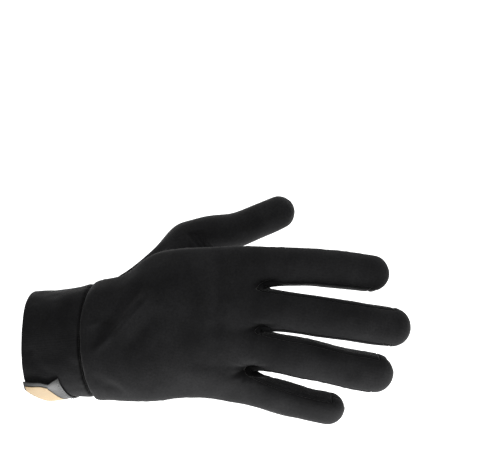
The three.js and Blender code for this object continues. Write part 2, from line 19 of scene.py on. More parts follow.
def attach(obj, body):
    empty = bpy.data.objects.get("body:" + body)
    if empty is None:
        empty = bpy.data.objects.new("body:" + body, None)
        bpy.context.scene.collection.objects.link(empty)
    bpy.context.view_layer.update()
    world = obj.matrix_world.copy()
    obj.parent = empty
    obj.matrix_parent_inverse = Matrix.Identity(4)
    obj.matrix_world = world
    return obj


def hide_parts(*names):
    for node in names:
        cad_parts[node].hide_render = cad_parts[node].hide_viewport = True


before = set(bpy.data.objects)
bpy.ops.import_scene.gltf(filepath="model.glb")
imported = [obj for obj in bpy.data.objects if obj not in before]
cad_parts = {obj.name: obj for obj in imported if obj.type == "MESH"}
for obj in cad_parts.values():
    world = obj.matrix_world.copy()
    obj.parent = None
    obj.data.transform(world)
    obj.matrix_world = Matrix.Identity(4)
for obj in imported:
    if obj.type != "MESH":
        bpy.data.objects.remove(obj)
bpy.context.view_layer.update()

logging.basicConfig(level=logging.INFO, format="%(message)s")
log = logging.getLogger("glove")

Array = np.ndarray
METRE = 0.001

# A wave texture's bands along an axis are this over its scale apart
WAVE_BAND = 0.3142

# Columns of quads: across a finger's back or palm side, up each of its sides, and right round
TOP = 4
SIDE = 4
FINGER_RING = 2 * (TOP + SIDE)
FINGER_COUNT = 4
BACK = FINGER_COUNT * TOP
RING = 2 * (BACK + SIDE)
PALM_END = RING - SIDE
BACK_CENTRE = BACK // 2
PALM_CENTRE = BACK + SIDE + BACK // 2

# Rows of the thumb's notch in the hand's grid, and its columns into the palm from the side seam
NOTCH_NEAR, NOTCH_FAR = 3, 9
NOTCH_PALM = 4


class Panel(Enum):
    """Pieces of jersey that are sewn into the glove, numbered as their faces are."""

    BACK = 0
    PALM = 1
    THUMB = 2
    INDEX_MIDDLE = 3
    MIDDLE_RING = 4
    RING_LITTLE = 5

    @property
    def node(self) -> str:
        """Name of the solid that this panel stands for."""
        strips = ("fourchette_index_middle", "fourchette_middle_ring", "fourchette_ring_little")
        return ("back_panel", "palm_panel", "thumb", *strips)[self.value]


@dataclass(frozen=True)
class FormTable:
    """Named columns given at shares of a length, read on a smooth curve through their rows."""

    at: tuple[float, ...]
    columns: dict[str, tuple[float, ...]]

    def value(self, column: str, share: Array | float) -> Array:
        """Cubic through the rows, with the slope at each row that of the line between its neighbours.

        Args:
            column: name of the column to read.
            share: places along the length, 0 to 1.

        Returns:
            The column's value at each place.
        """
        at = np.asarray(self.at)
        row = np.asarray(self.columns[column])
        share = np.asarray(share, float)
        high = np.clip(np.searchsorted(at, share, side="left"), 1, len(at) - 1)
        low = high - 1
        before = np.maximum(high - 2, 0)
        after = np.minimum(high + 1, len(at) - 1)
        span = at[high] - at[low]
        start = (row[high] - row[before]) / (at[high] - at[before]) * span
        end = (row[after] - row[low]) / (at[after] - at[low]) * span
        t = (share - at[low]) / span
        return (
            (2 * t**3 - 3 * t**2 + 1) * row[low]
            + (t**3 - 2 * t**2 + t) * start
            + (3 * t**2 - 2 * t**3) * row[high]
            + (t**3 - t**2) * end
        )


@dataclass(frozen=True)
class GloveSizes:
    """Sizes that the whole glove shares, in millimetres: its solids' own, but for the thinner wall."""

    cuff_length: float = 36.0
    cuff_width: float = 61.0
    cuff_depth: float = 46.0
    cuff_wall: float = 2.2
    hand_length: float = 105.0
    hand_width: float = 86.0
    hand_depth: float = 25.0
    palm_hollow: float = 3.0
    finger_length: float = 83.0
    finger_width: float = 23.0
    finger_depth: float = 20.0
    crotch_slope: float = 8.0
    thumb_reach: float = 106.0
    thumb_width: float = 22.0
    roundness: float = 2.4
    side_span: float = 30.0
    hand_corner: float = 0.95
    wall: float = 0.9
    cuff_form: FormTable = FormTable(
        at=(0, 0.35, 0.8, 1),
        columns={"width": (1, 0.985, 1.0, 1.03), "depth": (1, 0.98, 0.99, 1.01)},
    )

    def cuff_size(self, x: Array | float) -> tuple[Array, Array]:
        """Width and depth of the cuff at distances from its free edge."""
        share = np.clip(np.asarray(x, float) / self.cuff_length, 0, 1)
        width = self.cuff_width * self.cuff_form.value("width", share)
        depth = self.cuff_depth * self.cuff_form.value("depth", share)
        return width, depth


SIZES = GloveSizes()


def mix(a: Array | float, b: Array | float, t: Array | float) -> Array:
    """Value between a and b at share t."""
    return a + (b - a) * t


def smooth(low: float, high: float, x: Array) -> Array:
    """0 below low, 1 above high, and an even curve between."""
    t = np.clip((x - low) / (high - low), 0, 1)
    return t * t * (3 - 2 * t)


@dataclass(frozen=True)
class WornCuff:
    """How the cuff lies on the wrist: turned, bowed on its back, and slack on the little finger's side."""

    turn: float = 0.085
    turn_fade: float = 32.0
    edge_bow: float = 1.3
    seam_bow: float = 2.9
    bow_growth: float = 30.0
    bow_reach: float = 30.0
    bow_height: float = 8.0
    bow_fade: float = 22.0
    slack: float = 2.0
    slack_growth: tuple[float, float] = (8.0, 28.0)
    slack_fade: tuple[float, float] = (-4.0, 12.0)
    give: float = 9.5
    give_height: float = 18.2
    give_power: float = 2.2
    give_growth: tuple[float, float] = (10.0, 22.0)
    give_fade: float = 28.0

    def moved(self, points: Array) -> Array:
        """Moves points with the cuff, and those of the hand less and less away from it.

        Turned, x grows by a share of y. The bow is a parabola across the back that moves x toward the arm.
        The slack moves y outward, and the free edge under the label gives way toward the hand, as 1 less a
        power of the height.

        Args:
            points: places, (..., 3).

        Returns:
            The moved places.
        """
        x, y, z = points[..., 0], points[..., 1], points[..., 2]
        seam = SIZES.cuff_length
        turn = self.turn * y * (1 - smooth(seam, seam + self.turn_fade, x))
        bow = mix(self.edge_bow, self.seam_bow, smooth(0, self.bow_growth, x))
        bow = bow * np.maximum(1 - (y / self.bow_reach) ** 2, 0)
        bow *= smooth(-self.bow_height, self.bow_height, z)
        bow *= 1 - smooth(seam, seam + self.bow_fade, x)
        first, last = self.slack_fade
        slack = self.slack * smooth(*self.slack_growth, -y) * (1 - smooth(seam + first, seam + last, x))
        give = self.give * np.maximum(1 - (np.abs(z) / self.give_height) ** self.give_power, 0)
        give *= smooth(*self.give_growth, -y) * (1 - smooth(0, self.give_fade, x))
        return points + np.stack([turn - bow + give, -slack, 0 * turn], -1)


WORN_CUFF = WornCuff()


def round_section(degrees: Array) -> Array:
    """Unit section between an ellipse and a rectangle: cosine and sine raised to 2 over the roundness.

    Args:
        degrees: angles from the thumb's side over the back.

    Returns:
        Places across and up, in the last axis.
    """
    turn = np.radians(degrees)
    power = 2 / SIZES.roundness
    parts = [np.sign(w) * np.abs(w) ** power for w in (np.cos(turn), np.sin(turn))]
    return np.stack(parts, -1)


def finger_angle(column: Array) -> Array:
    """Angle of each column round a finger, from its seam on the back on the thumb's side."""
    span = SIZES.side_span
    half = column % (TOP + SIDE)
    base = np.where(column % FINGER_RING >= TOP + SIDE, 180.0, 0.0)
    on_top = half * (180 - 2 * span) / TOP
    on_side = 180 - 2 * span + (half - TOP) * 2 * span / SIDE
    return base + span + np.where(half <= TOP, on_top, on_side)


def noise(points: Array, length: float, seed: int, waves: int = 10, gain: float = 2.2) -> Array:
    """Soft, even noise: the mean of sine waves of nearly one wavelength in random directions.

    Args:
        points: places in millimetres, (n, 3).
        length: the waves' length in millimetres.
        seed: start of the random draws.
        waves: how many waves there are.
        gain: factor on their mean.

    Returns:
        About -1 to 1 at each point.
    """
    draw = np.random.default_rng(seed)
    ways = draw.normal(size=(waves, 3))
    ways /= np.linalg.norm(ways, axis=1, keepdims=True)
    ways *= draw.uniform(0.7, 1.3, (waves, 1)) * 2 * math.pi / length
    return np.sin(points @ ways.T + draw.uniform(0, 2 * math.pi, waves)).mean(1) * gain


def grid_quads(grid: Array) -> Array:
    """Four corners of each cell of a grid, in turn: (rows - 1, columns - 1, 4, ...)."""
    return np.stack([grid[:-1, :-1], grid[:-1, 1:], grid[1:, 1:], grid[1:, :-1]], 2)


def edges_of(quads: Array) -> tuple[Array, Array]:
    """Two ends of each edge of the quads, and how many quads share it."""
    edges = np.concatenate([quads[:, [i, (i + 1) % 4]] for i in range(4)])
    return np.unique(np.sort(edges, 1), axis=0, return_counts=True)


@dataclass
class ClothNet:
    """The cloth's outer surface: shared points, and quads with their panel and place on the flat cloth."""

    points: list[Array] = field(default_factory=list)
    mobility: list[Array] = field(default_factory=list)
    quads: list[Array] = field(default_factory=list)
    panels: list[Array] = field(default_factory=list)
    places: list[Array] = field(default_factory=list)
    count: int = 0

    def add(self, grid: Array, mobility: Array | float = 0.0) -> Array:
        """Adds points.

        Args:
            grid: places, with x, y and z in the last axis.
            mobility: how far each one follows its neighbours in `relax`.

        Returns:
            The points' numbers, shaped as the grid.
        """
        flat = grid.reshape(-1, 3)
        numbers = np.arange(self.count, self.count + len(flat))
        self.count += len(flat)
        self.points.append(flat)
        self.mobility.append(np.broadcast_to(mobility, grid.shape[:-1]).reshape(-1).astype(float))
        return numbers.reshape(grid.shape[:-1])

    def sew(self, corners: Array, panel: Array | int, places: Array) -> None:
        """Adds quads.

        Args:
            corners: four point numbers each, (n, 4).
            panel: number of each quad's panel.
            places: place of each corner on the flat cloth in millimetres, (n, 4, 2).
        """
        self.quads.append(corners)
        self.panels.append(np.broadcast_to(panel, len(corners)).astype(int))
        self.places.append(places)

    def sew_band(self, numbers: Array, panel: Array, places: Array) -> None:
        """Sews rows of points into quads.

        Args:
            numbers: point numbers, (rows, columns); a closed band has its first column again at the end.
            panel: panel of each quad, (rows - 1, columns - 1), or -1 where there is none.
            places: places on the flat cloth, (panels, rows, columns, 2), read by the panel's own number.
        """
        corners = grid_quads(numbers).reshape(-1, 4)
        choice = np.minimum(panel.reshape(-1), len(places) - 1)
        all_places = np.stack([grid_quads(p).reshape(-1, 4, 2) for p in places])
        keep = panel.reshape(-1) >= 0
        picked = all_places[choice, np.arange(len(corners))]
        self.sew(corners[keep], panel.reshape(-1)[keep], picked[keep])

    def joined(self) -> tuple[Array, Array, Array, Array]:
        """Points, quads, panels and places on the cloth as whole arrays."""
        points, quads, panels, places = (
            np.concatenate(part) for part in (self.points, self.quads, self.panels, self.places)
        )
        return points, quads, panels, places

    def relax(self, rounds: int) -> None:
        """Moves each mobile point toward the mean of its neighbours.

        Args:
            rounds: how many times.
        """
        points, quads, _, _ = self.joined()
        mobility = np.concatenate(self.mobility)[:, None]
        edges, _ = edges_of(quads)
        ends = np.concatenate([edges, edges[:, ::-1]])
        degree = np.bincount(ends[:, 0], minlength=len(points))[:, None]
        for _ in range(rounds):
            total = np.zeros_like(points)
            np.add.at(total, ends[:, 0], points[ends[:, 1]])
            points = mix(points, total / np.maximum(degree, 1), mobility)
        self.points = [points]

    def swell(self, rounds: int) -> None:
        """Moves the points out so that the smoothed surface goes through where they were.

        The place that smoothing gives a point of n quads is n squared times itself, 4 times its edge
        neighbours and once its diagonal neighbours, over n(n + 5).

        Args:
            rounds: how many times the difference is added.
        """
        points, quads, _, _ = self.joined()
        target = points.copy()
        flat = quads.reshape(-1)
        sides = quads[:, [1, 2, 3, 0]].reshape(-1), quads[:, [3, 0, 1, 2]].reshape(-1)
        diagonal = quads[:, [2, 3, 0, 1]].reshape(-1)
        n = np.bincount(flat, minlength=len(points))[:, None]
        edges, shared = edges_of(quads)
        rim = np.unique(edges[shared == 1])
        for _ in range(rounds):
            total = np.zeros_like(points)
            np.add.at(total, flat, 2 * (points[sides[0]] + points[sides[1]]) + points[diagonal])
            smoothed = (n * n * points + total) / (n * (n + 5))
            smoothed[rim] = target[rim]
            points = points + (target - smoothed)
        self.points = [points]


@dataclass
class Cloth:
    """The smoothed outer surface: points, normals, quads, each quad's panel, and places on the flat cloth."""

    points: Array
    quads: Array
    panel: Array
    places: Array

    def normals(self) -> Array:
        """Mean of the faces' normals at each point, weighted by area."""
        a, b, c, d = (self.points[self.quads[:, i]] for i in range(4))
        face = np.cross(c - a, d - b)
        total = np.zeros_like(self.points)
        np.add.at(total, self.quads.reshape(-1), np.repeat(face, 4, axis=0))
        return total / np.linalg.norm(total, axis=1, keepdims=True)

    def seam_points(self) -> Array:
        """Numbers of the points where two panels meet."""
        low = np.full(len(self.points), len(Panel))
        high = np.full(len(self.points), -1)
        corner, panel = self.quads.reshape(-1), np.repeat(self.panel, 4)
        np.minimum.at(low, corner, panel)
        np.maximum.at(high, corner, panel)
        return np.flatnonzero(low != high)

    def rim_points(self) -> Array:
        """Numbers of the points on the open edge at the wrist."""
        edges, shared = edges_of(self.quads)
        return np.unique(edges[shared == 1])


def nearest(points: Array, targets: Array, block: int = 4000) -> Array:
    """Distance from each point to the nearest of the targets, worked out in blocks to save memory."""
    found = np.empty(len(points))
    size = np.sum(targets**2, 1)
    for start in range(0, len(points), block):
        some = points[start:start + block]
        square = np.sum(some**2, 1)[:, None] + size[None] - 2 * some @ targets.T
        found[start:start + block] = np.sqrt(np.maximum(square.min(1), 0))
    return found


def smooth_path(points: Array, samples: int, parts: int = 100) -> tuple[Array, Array]:
    """Centripetal spline through points, sampled evenly along its length.

    Args:
        points: places that it goes through, (n, 3).
        samples: how many places to return.
        parts: how finely the curve is followed between two of the points.

    Returns:
        The places and the unit directions there.
    """
    ends = np.vstack([2 * points[0] - points[1], points, 2 * points[-1] - points[-2]])
    p0, p1, p2, p3 = ends[:-3], ends[1:-2], ends[2:-1], ends[3:]
    d0, d1, d2 = (np.linalg.norm(b - a, axis=1)[:, None] ** 0.5 for a, b in ((p0, p1), (p1, p2), (p2, p3)))
    m1 = ((p1 - p0) / d0 - (p2 - p0) / (d0 + d1) + (p2 - p1) / d1) * d1
    m2 = ((p2 - p1) / d1 - (p3 - p1) / (d1 + d2) + (p3 - p2) / d2) * d1
    t = np.linspace(0, 1, parts + 1)[:-1].reshape(1, -1, 1)
    p1, p2, m1, m2 = (a[:, None] for a in (p1, p2, m1, m2))
    curve = (
        (2 * t**3 - 3 * t**2 + 1) * p1
        + (t**3 - 2 * t**2 + t) * m1
        + (3 * t**2 - 2 * t**3) * p2
        + (t**3 - t**2) * m2
    )
    curve = np.vstack([curve.reshape(-1, 3), points[-1:]])
    length = np.concatenate([[0], np.cumsum(np.linalg.norm(np.diff(curve, axis=0), axis=1))])
    even = np.linspace(0, length[-1], samples)
    places = np.stack([np.interp(even, length, curve[:, i]) for i in range(3)], -1)
    ways = np.gradient(places, axis=0)
    return places, ways / np.linalg.norm(ways, axis=1, keepdims=True)


def arc_round(grid: Array, centre: int, sign: float) -> Array:
    """Distance round each row from a centre column, to place a tube's cloth flat.

    Args:
        grid: points, (rows, columns, 3), of a closed ring without a repeated column.
        centre: column where the distance is the point's own y.
        sign: way in which y grows with the column.

    Returns:
        Distances, (rows, columns + 1), with the first column repeated at the end.
    """
    count = grid.shape[1]
    step = np.linalg.norm(np.roll(grid, -1, axis=1) - grid, axis=2)
    along = np.concatenate([np.zeros((len(grid), 1)), np.cumsum(step, axis=1)], axis=1)
    total = along[:, -1:]
    from_centre = along - along[:, [centre]]
    half = count / 2
    columns = np.arange(count + 1)
    from_centre = np.where(columns - centre > half, from_centre - total, from_centre)
    from_centre = np.where(columns - centre < -half, from_centre + total, from_centre)
    return grid[:, [centre], 1] + sign * from_centre


@dataclass
class Finger:
    """One finger: shares of the glove's finger sizes, its root's rise, and turn, curl and roll in degrees."""

    name: str
    length: float
    width: float
    depth: float
    rise: float
    turn: tuple[float, float, float]
    curl: tuple[float, float, float]
    roll: float
    start: tuple[float, float] = (0, 0)
    end: tuple[float, float] = (0, 0)
    narrowing: float = 0.06
    shaft_rows: int = 8
    shaft_spacing: float = 1.15
    root_rows: int = 4
    cap_rows: int = 3
    steps: int = 40

    def __post_init__(self) -> None:
        """Works out the centre line: steps in the direction given by the turn and the curl at each share."""
        share = np.linspace(0, 1, self.steps + 1)
        turn, curl = (np.radians(self.bend(v, share)) for v in (self.turn, self.curl))
        ahead = np.stack([np.cos(turn) * np.cos(curl), np.sin(turn) * np.cos(curl), -np.sin(curl)], -1)
        flat = np.stack([-np.sin(turn), np.cos(turn), 0 * turn], -1)
        roll = -math.radians(self.roll)
        self.across = flat * math.cos(roll) + np.cross(ahead, flat) * math.sin(roll)
        self.up = np.cross(ahead, self.across)
        root = np.array([
            SIZES.cuff_length + (self.start[0] + self.end[0]) / 2 * SIZES.hand_length,
            (self.start[1] + self.end[1]) / 2 * SIZES.hand_width,
            self.rise * SIZES.hand_depth,
        ])
        step = ahead * self.length * SIZES.finger_length / self.steps
        self.centre = root + np.vstack([np.zeros(3), np.cumsum(step[:-1], axis=0)])

    @staticmethod
    def bend(values: tuple[float, float, float], share: Array) -> Array:
        """Parabola through the values at the root, the middle and the tip."""
        root, middle, tip = values
        t = 2 * share
        return root * (1 - t) * (1 - t / 2) + middle * t * (2 - t) + tip * t * (t - 1) / 2

    def points(self, share: Array, column: Array, scale: Array) -> Array:
        """Points of the tube: its centre line plus the rounded section, a little narrower to the tip.

        Args:
            share: places along the finger.
            column: columns round it.
            scale: size of the section, for the rounded tip.

        Returns:
            Places, (rows, columns, 3).
        """
        section = round_section(finger_angle(column))
        where = share * self.steps
        number = np.arange(self.steps + 1)
        centre, across, up = (
            np.stack([np.interp(where, number, line[:, i]) for i in range(3)], -1)[:, None]
            for line in (self.centre, self.across, self.up)
        )
        taper = ((1 - self.narrowing * share) * scale)[:, None, None]
        half_width = self.width * SIZES.finger_width * taper / 2
        half_depth = self.depth * SIZES.finger_depth * taper / 2
        return centre + across * half_width * section[None, :, :1] + up * half_depth * section[None, :, 1:]

    def root(self) -> Array:
        """Loop where the finger leaves the hand: from crotch to crotch, nearer the wrist on its back."""
        section = round_section(finger_angle(np.arange(FINGER_RING)))
        across, up = section[:, 0], section[:, 1]
        edge = round_section(np.array(SIZES.side_span))[0]
        share = np.clip((1 - across / edge) / 2, 0, 1)
        lean = self.across[0, 2] * self.width * SIZES.finger_width * across / 2
        return np.stack([
            SIZES.cuff_length + mix(self.start[0], self.end[0], share) * SIZES.hand_length
            - SIZES.crotch_slope * (1 + up) / 2,
            mix(self.start[1], self.end[1], share) * SIZES.hand_width,
            self.centre[0, 2] + self.depth * SIZES.finger_depth * up / 2 + lean,
        ], -1)

    def tube(self) -> Array:
        """Loops past the root, whose own shape fades over the first rows, to the tip's last full loop."""
        length = self.length * SIZES.finger_length
        tip = self.width * SIZES.finger_width / 2
        even = np.arange(1, self.shaft_rows + 1) / self.shaft_rows
        shaft = (length - tip) / length * even**self.shaft_spacing
        turn = math.pi / 2 * np.arange(1, self.cap_rows + 1) / (self.cap_rows + 1)
        share = np.concatenate([shaft, (length - tip + tip * np.sin(turn)) / length])
        scale = np.concatenate([np.ones(self.shaft_rows), np.cos(turn)])
        loops = self.points(share, np.arange(FINGER_RING), scale)
        fade = np.maximum(1 - np.arange(1, len(share) + 1) / self.root_rows, 0) ** 2
        offset = self.root() - self.points(np.zeros(1), np.arange(FINGER_RING), np.ones(1))[0]
        return loops + fade[:, None, None] * offset[None]

    def tip_ring(self, side: int) -> Array:
        """Ring of 8 x side points on the rounded end, or the end's own point for side 0."""
        length = self.length * SIZES.finger_length
        tip = self.width * SIZES.finger_width / 2
        last = math.cos(math.pi / 2 * self.cap_rows / (self.cap_rows + 1))
        scale = last * side / (TOP / 2)
        share = (length - tip + tip * math.sqrt(1 - scale**2)) / length
        columns = np.arange(max(8 * side, 1)) * FINGER_RING / max(8 * side, 1)
        return self.points(np.array([share]), columns, np.array([scale]))[0]


def cap_grid(loop: Array, rings: list[Array]) -> Array:
    """Square grid of point numbers that closes a loop without a pole of many edges.

    Args:
        loop: the loop's numbers, 8 n of them, whose first one is a corner of the grid.
        rings: numbers of the rings inside it, with 8 (n - 1) down to 8 points, and then one point.

    Returns:
        Numbers, (2 n + 1, 2 n + 1), whose first row follows the loop's start.
    """
    n = len(loop) // 8
    grid = np.zeros((2 * n + 1, 2 * n + 1), int)
    for inset, ring in enumerate([loop, *rings]):
        side = 2 * (n - inset)
        if side == 0:
            grid[n, n] = ring[0]
            continue
        low, high = inset, 2 * n - inset
        grid[low, low:high] = ring[:side]
        grid[low:high, high] = ring[side:2 * side]
        grid[high, high:low:-1] = ring[2 * side:3 * side]
        grid[high:low:-1, low] = ring[3 * side:]
    return grid


@dataclass
class Hand:
    """The hand from the cuff's seam to the fingers: shares of the glove's sizes."""

    form: FormTable = FormTable(
        at=(0, 0.035, 0.09, 0.29, 0.44, 0.615, 0.827, 1),
        columns={
            "spread": (0, 0.15, 0.27, 0.53, 0.91, 0.97, 1.0, 1.12),
            "thin": (0, -0.06, -0.03, 0.24, 0.4, 0.58, 0.8, 1),
            "shift": (-0.006, -0.01, -0.014, -0.012, 0.03, 0.042, 0.028, 0.0),
            "rise": (0, 0, 0, 0.08, 0.14, 0.17, 0.15, 0.08),
            "arch": (0, 0, 0, 0.04, 0.08, 0.14, 0.22, 0.28),
        },
    )
    rows: tuple[float, ...] = (
        0, 0.035, 0.09, 0.16, 0.235, 0.315, 0.395, 0.48, 0.565, 0.65, 0.72, 0.79, 0.86, 0.93, 1)
    crotches: tuple[tuple[float, float], ...] = (
        (0.9, 0.52), (1.0, 0.222), (0.965, -0.052), (0.89, -0.307), (0.79, -0.52))
    pull_start: float = 0.5
    root_mobility: float = 0.3
    pull_mobility: float = 0.5

    def section(self) -> Array:
        """Unit section at each column: the back, the little finger's side, the palm and the thumb's side."""
        power = SIZES.roundness
        at = np.arange(FINGER_COUNT + 1) * TOP
        across = np.interp(np.arange(BACK + 1), at, [c[1] for c in self.crotches])
        first, last = across[0], across[-1]
        across = SIZES.hand_corner * (across - (first + last) / 2) / ((first - last) / 2)
        up = (1 - np.abs(across) ** power) ** (1 / power)
        corner = math.degrees(math.acos(SIZES.hand_corner ** (power / 2)))
        steps = np.arange(1, SIDE) / SIDE
        return np.concatenate([
            np.stack([across, up], -1),
            round_section(180 - corner + 2 * corner * steps),
            np.stack([across[::-1], -up[::-1]], -1),
            round_section(-corner + 2 * corner * steps),
        ])

    def points(self, share: Array) -> Array:
        """Sections at shares of the hand's length: width and depth go from the cuff's to the hand's own."""
        share = np.asarray(share, float)[:, None]
        wrist_width, wrist_depth = SIZES.cuff_size(SIZES.cuff_length)
        width = mix(wrist_width, SIZES.hand_width, self.form.value("spread", share))
        depth = mix(wrist_depth, SIZES.hand_depth, self.form.value("thin", share))
        section = self.section()
        across, up = section[None, :, 0], section[None, :, 1]
        hollow = np.where(up < 0, SIZES.palm_hollow * np.sin(np.pi * share) * (1 - across**2) ** 2, 0)
        arch = self.form.value("arch", share) * SIZES.hand_depth * across**2
        rise = self.form.value("rise", share) * SIZES.hand_depth
        return np.stack([
            np.broadcast_to(SIZES.cuff_length + share * SIZES.hand_length, (len(share), RING)),
            self.form.value("shift", share) * SIZES.hand_width + width / 2 * across,
            rise + depth / 2 * up + hollow - arch,
        ], -1)

    def grid(self, root: Array) -> tuple[Array, Array]:
        """Rows of the hand, drawn to the fingers' roots over its second half.

        Args:
            root: the root row's points, (columns, 3).

        Returns:
            Points, (rows, columns, 3), and their mobility.
        """
        share = np.asarray(self.rows)
        points = self.points(share)
        pull = np.maximum((share - self.pull_start) / (1 - self.pull_start), 0)[:, None] ** 2
        end = self.points(np.ones(1))[0]
        points[:, :, 0] = SIZES.cuff_length + share[:, None] * (root[None, :, 0] - SIZES.cuff_length)
        points[:, :, 1:] += pull[:, :, None] * (root - end)[None, :, 1:]
        mobility = np.broadcast_to(self.pull_mobility * pull**2, points.shape[:-1]).copy()
        mobility[-1] = self.root_mobility
        return points, mobility


@dataclass
class Thumb:
    """The set-in thumb: its path from the root in the palm, and its section along that path."""

    root: tuple[float, float, float] = (0.235, 0.26, 0.24)
    path: tuple[tuple[float, float, float], ...] = (
        (0, 0, 0),
        (0.135, 0.1, 0.038),
        (0.245, 0.235, 0.095),
        (0.385, 0.288, 0.128),
        (0.555, 0.305, 0.155),
        (0.695, 0.342, 0.165),
        (0.805, 0.378, 0.188),
    )
    form: FormTable = FormTable(
        at=(0, 0.2, 0.4, 0.5, 0.75, 1),
        columns={
            "across": (1.2, 1.0, 1.1, 1.06, 0.93, 0.86),
            "through": (1.7, 1.5, 1.2, 1.08, 0.95, 0.86),
        },
    )
    start: float = 0.41
    root_rows: int = 3
    rows: int = 10
    cap_rows: int = 3
    fullness: float = 3.0
    full_way: tuple[float, float, float] = (0, 0.5, -0.87)
    hollow: float = 3.0
    root_mobility: float = 0.15
    cloth_start: float = 60.0
    samples: int = 401

    def __post_init__(self) -> None:
        """Lays the path."""
        origin = np.array([
            SIZES.cuff_length + self.root[0] * SIZES.hand_length,
            self.root[1] * SIZES.hand_width,
            -self.root[2] * SIZES.hand_depth,
        ])
        steps = np.array(self.path) * [1, 1, -1] * SIZES.thumb_reach
        self.places, self.ways = smooth_path(origin + steps, self.samples)

    def ring(self, share: float, turn: Array, scale: float = 1.0, beyond: float = 0.0) -> Array:
        """Section of the tube: inner side at turn 0, palm side at a quarter turn.

        Args:
            share: place along the path.
            turn: angles round the tube.
            scale: size of the section.
            beyond: distance past the place, along the path.

        Returns:
            Points, (turns, 3).
        """
        at = share * (self.samples - 1)
        number = np.arange(self.samples)
        centre, ahead = (
            np.array([np.interp(at, number, line[:, i]) for i in range(3)])
            for line in (self.places, self.ways)
        )
        inner = -np.cross([0, 0, 1], ahead)
        inner /= np.linalg.norm(inner)
        down = np.cross(ahead, inner)
        half = SIZES.thumb_width * scale / 2
        across, through = (float(self.form.value(key, share)) * half for key in ("across", "through"))
        section = np.outer(np.cos(turn), inner * across) + np.outer(np.sin(turn), down * through)
        return centre + ahead * beyond + section

    def tip_radius(self) -> float:
        """Radius of the rounded tip."""
        return float(self.form.value("across", 1)) * SIZES.thumb_width / 2

    def tube(self, rim: Array, turn: Array) -> Array:
        """Rows from the notch's rim to the tip: ruled to the tube with a bulge, along it, and round its end.

        Args:
            rim: the rim's points, (columns, 3).
            turn: angle of each column round the tube.

        Returns:
            Points, (rows, columns, 3), the rim first.
        """
        base = self.ring(self.start, turn)
        bulge = np.outer(np.maximum(np.sin(turn), 0), self.full_way) * self.fullness
        bulge[:, 1] -= np.maximum(-np.cos(turn), 0) * self.hollow
        rows = [rim]
        for u in np.arange(1, self.root_rows) / self.root_rows:
            rows.append(mix(rim, base, u) + 4 * u * (1 - u) * bulge)
        for u in np.linspace(0, 1, self.rows - self.root_rows + 1):
            rows.append(self.ring(mix(self.start, 1, u), turn))
        for angle in math.pi / 2 * np.arange(1, self.cap_rows + 1) / (self.cap_rows + 1):
            rows.append(self.ring(1, turn, math.cos(angle), self.tip_radius() * math.sin(angle)))
        return np.stack(rows)

    def sew(self, net: ClothNet, hand: Array) -> None:
        """Sews the thumb to the rim of its notch, and closes its tip with a square grid.

        Args:
            net: the glove's net, with the hand in it.
            hand: the hand's point numbers, (rows, columns).
        """
        palm, seam = PALM_END - NOTCH_PALM, RING - SIDE // 2
        rim = np.concatenate([
            hand[NOTCH_FAR, seam:palm:-1],
            hand[NOTCH_FAR:NOTCH_NEAR:-1, palm],
            hand[NOTCH_NEAR, palm:seam],
            hand[NOTCH_NEAR:NOTCH_FAR, seam],
        ])
        count = len(rim)
        first = (SIDE / 2 + NOTCH_PALM) / 2

        def turn_of(column: Array) -> Array:
            """Angle round the tube at columns of the rim."""
            return (column - first) * 2 * math.pi / count

        tube = self.tube(np.concatenate(net.points)[rim], turn_of(np.arange(count)))
        mobility = np.zeros(tube.shape[:-1])
        mobility[1:self.root_rows] = self.root_mobility
        numbers = np.vstack([rim[None], net.add(tube[1:], mobility[1:])])

        last = math.cos(math.pi / 2 * self.cap_rows / (self.cap_rows + 1))
        side = count // 8
        rings = []
        for step in range(side - 1, -1, -1):
            scale = last * step / side
            size = max(8 * step, 1)
            turn = turn_of(np.arange(size) * count / size)
            rings.append(net.add(self.ring(1, turn, scale, self.tip_radius() * math.sqrt(1 - scale**2))))

        around = np.linalg.norm(np.roll(tube, -1, axis=1) - tube, axis=2)
        u = np.concatenate([np.zeros((len(tube), 1)), np.cumsum(around, axis=1)], axis=1)
        u -= u[:, [count // 2]]
        forth = np.linalg.norm(np.diff(tube, axis=0), axis=2).mean(1)
        v = self.cloth_start + np.concatenate([[0], np.cumsum(forth)])
        closed = np.concatenate([numbers, numbers[:, :1]], axis=1)
        panel = np.full((len(numbers) - 1, count), Panel.THUMB.value)
        net.sew_band(closed, panel, np.stack([u, np.broadcast_to(v[:, None], u.shape)], -1)[None])
        cap = cap_grid(numbers[-1], rings)
        spots = np.concatenate(net.points)[cap]
        net.sew_band(cap, np.full((cap.shape[0] - 1,) * 2, Panel.THUMB.value), spots[None, :, :, [1, 2]])


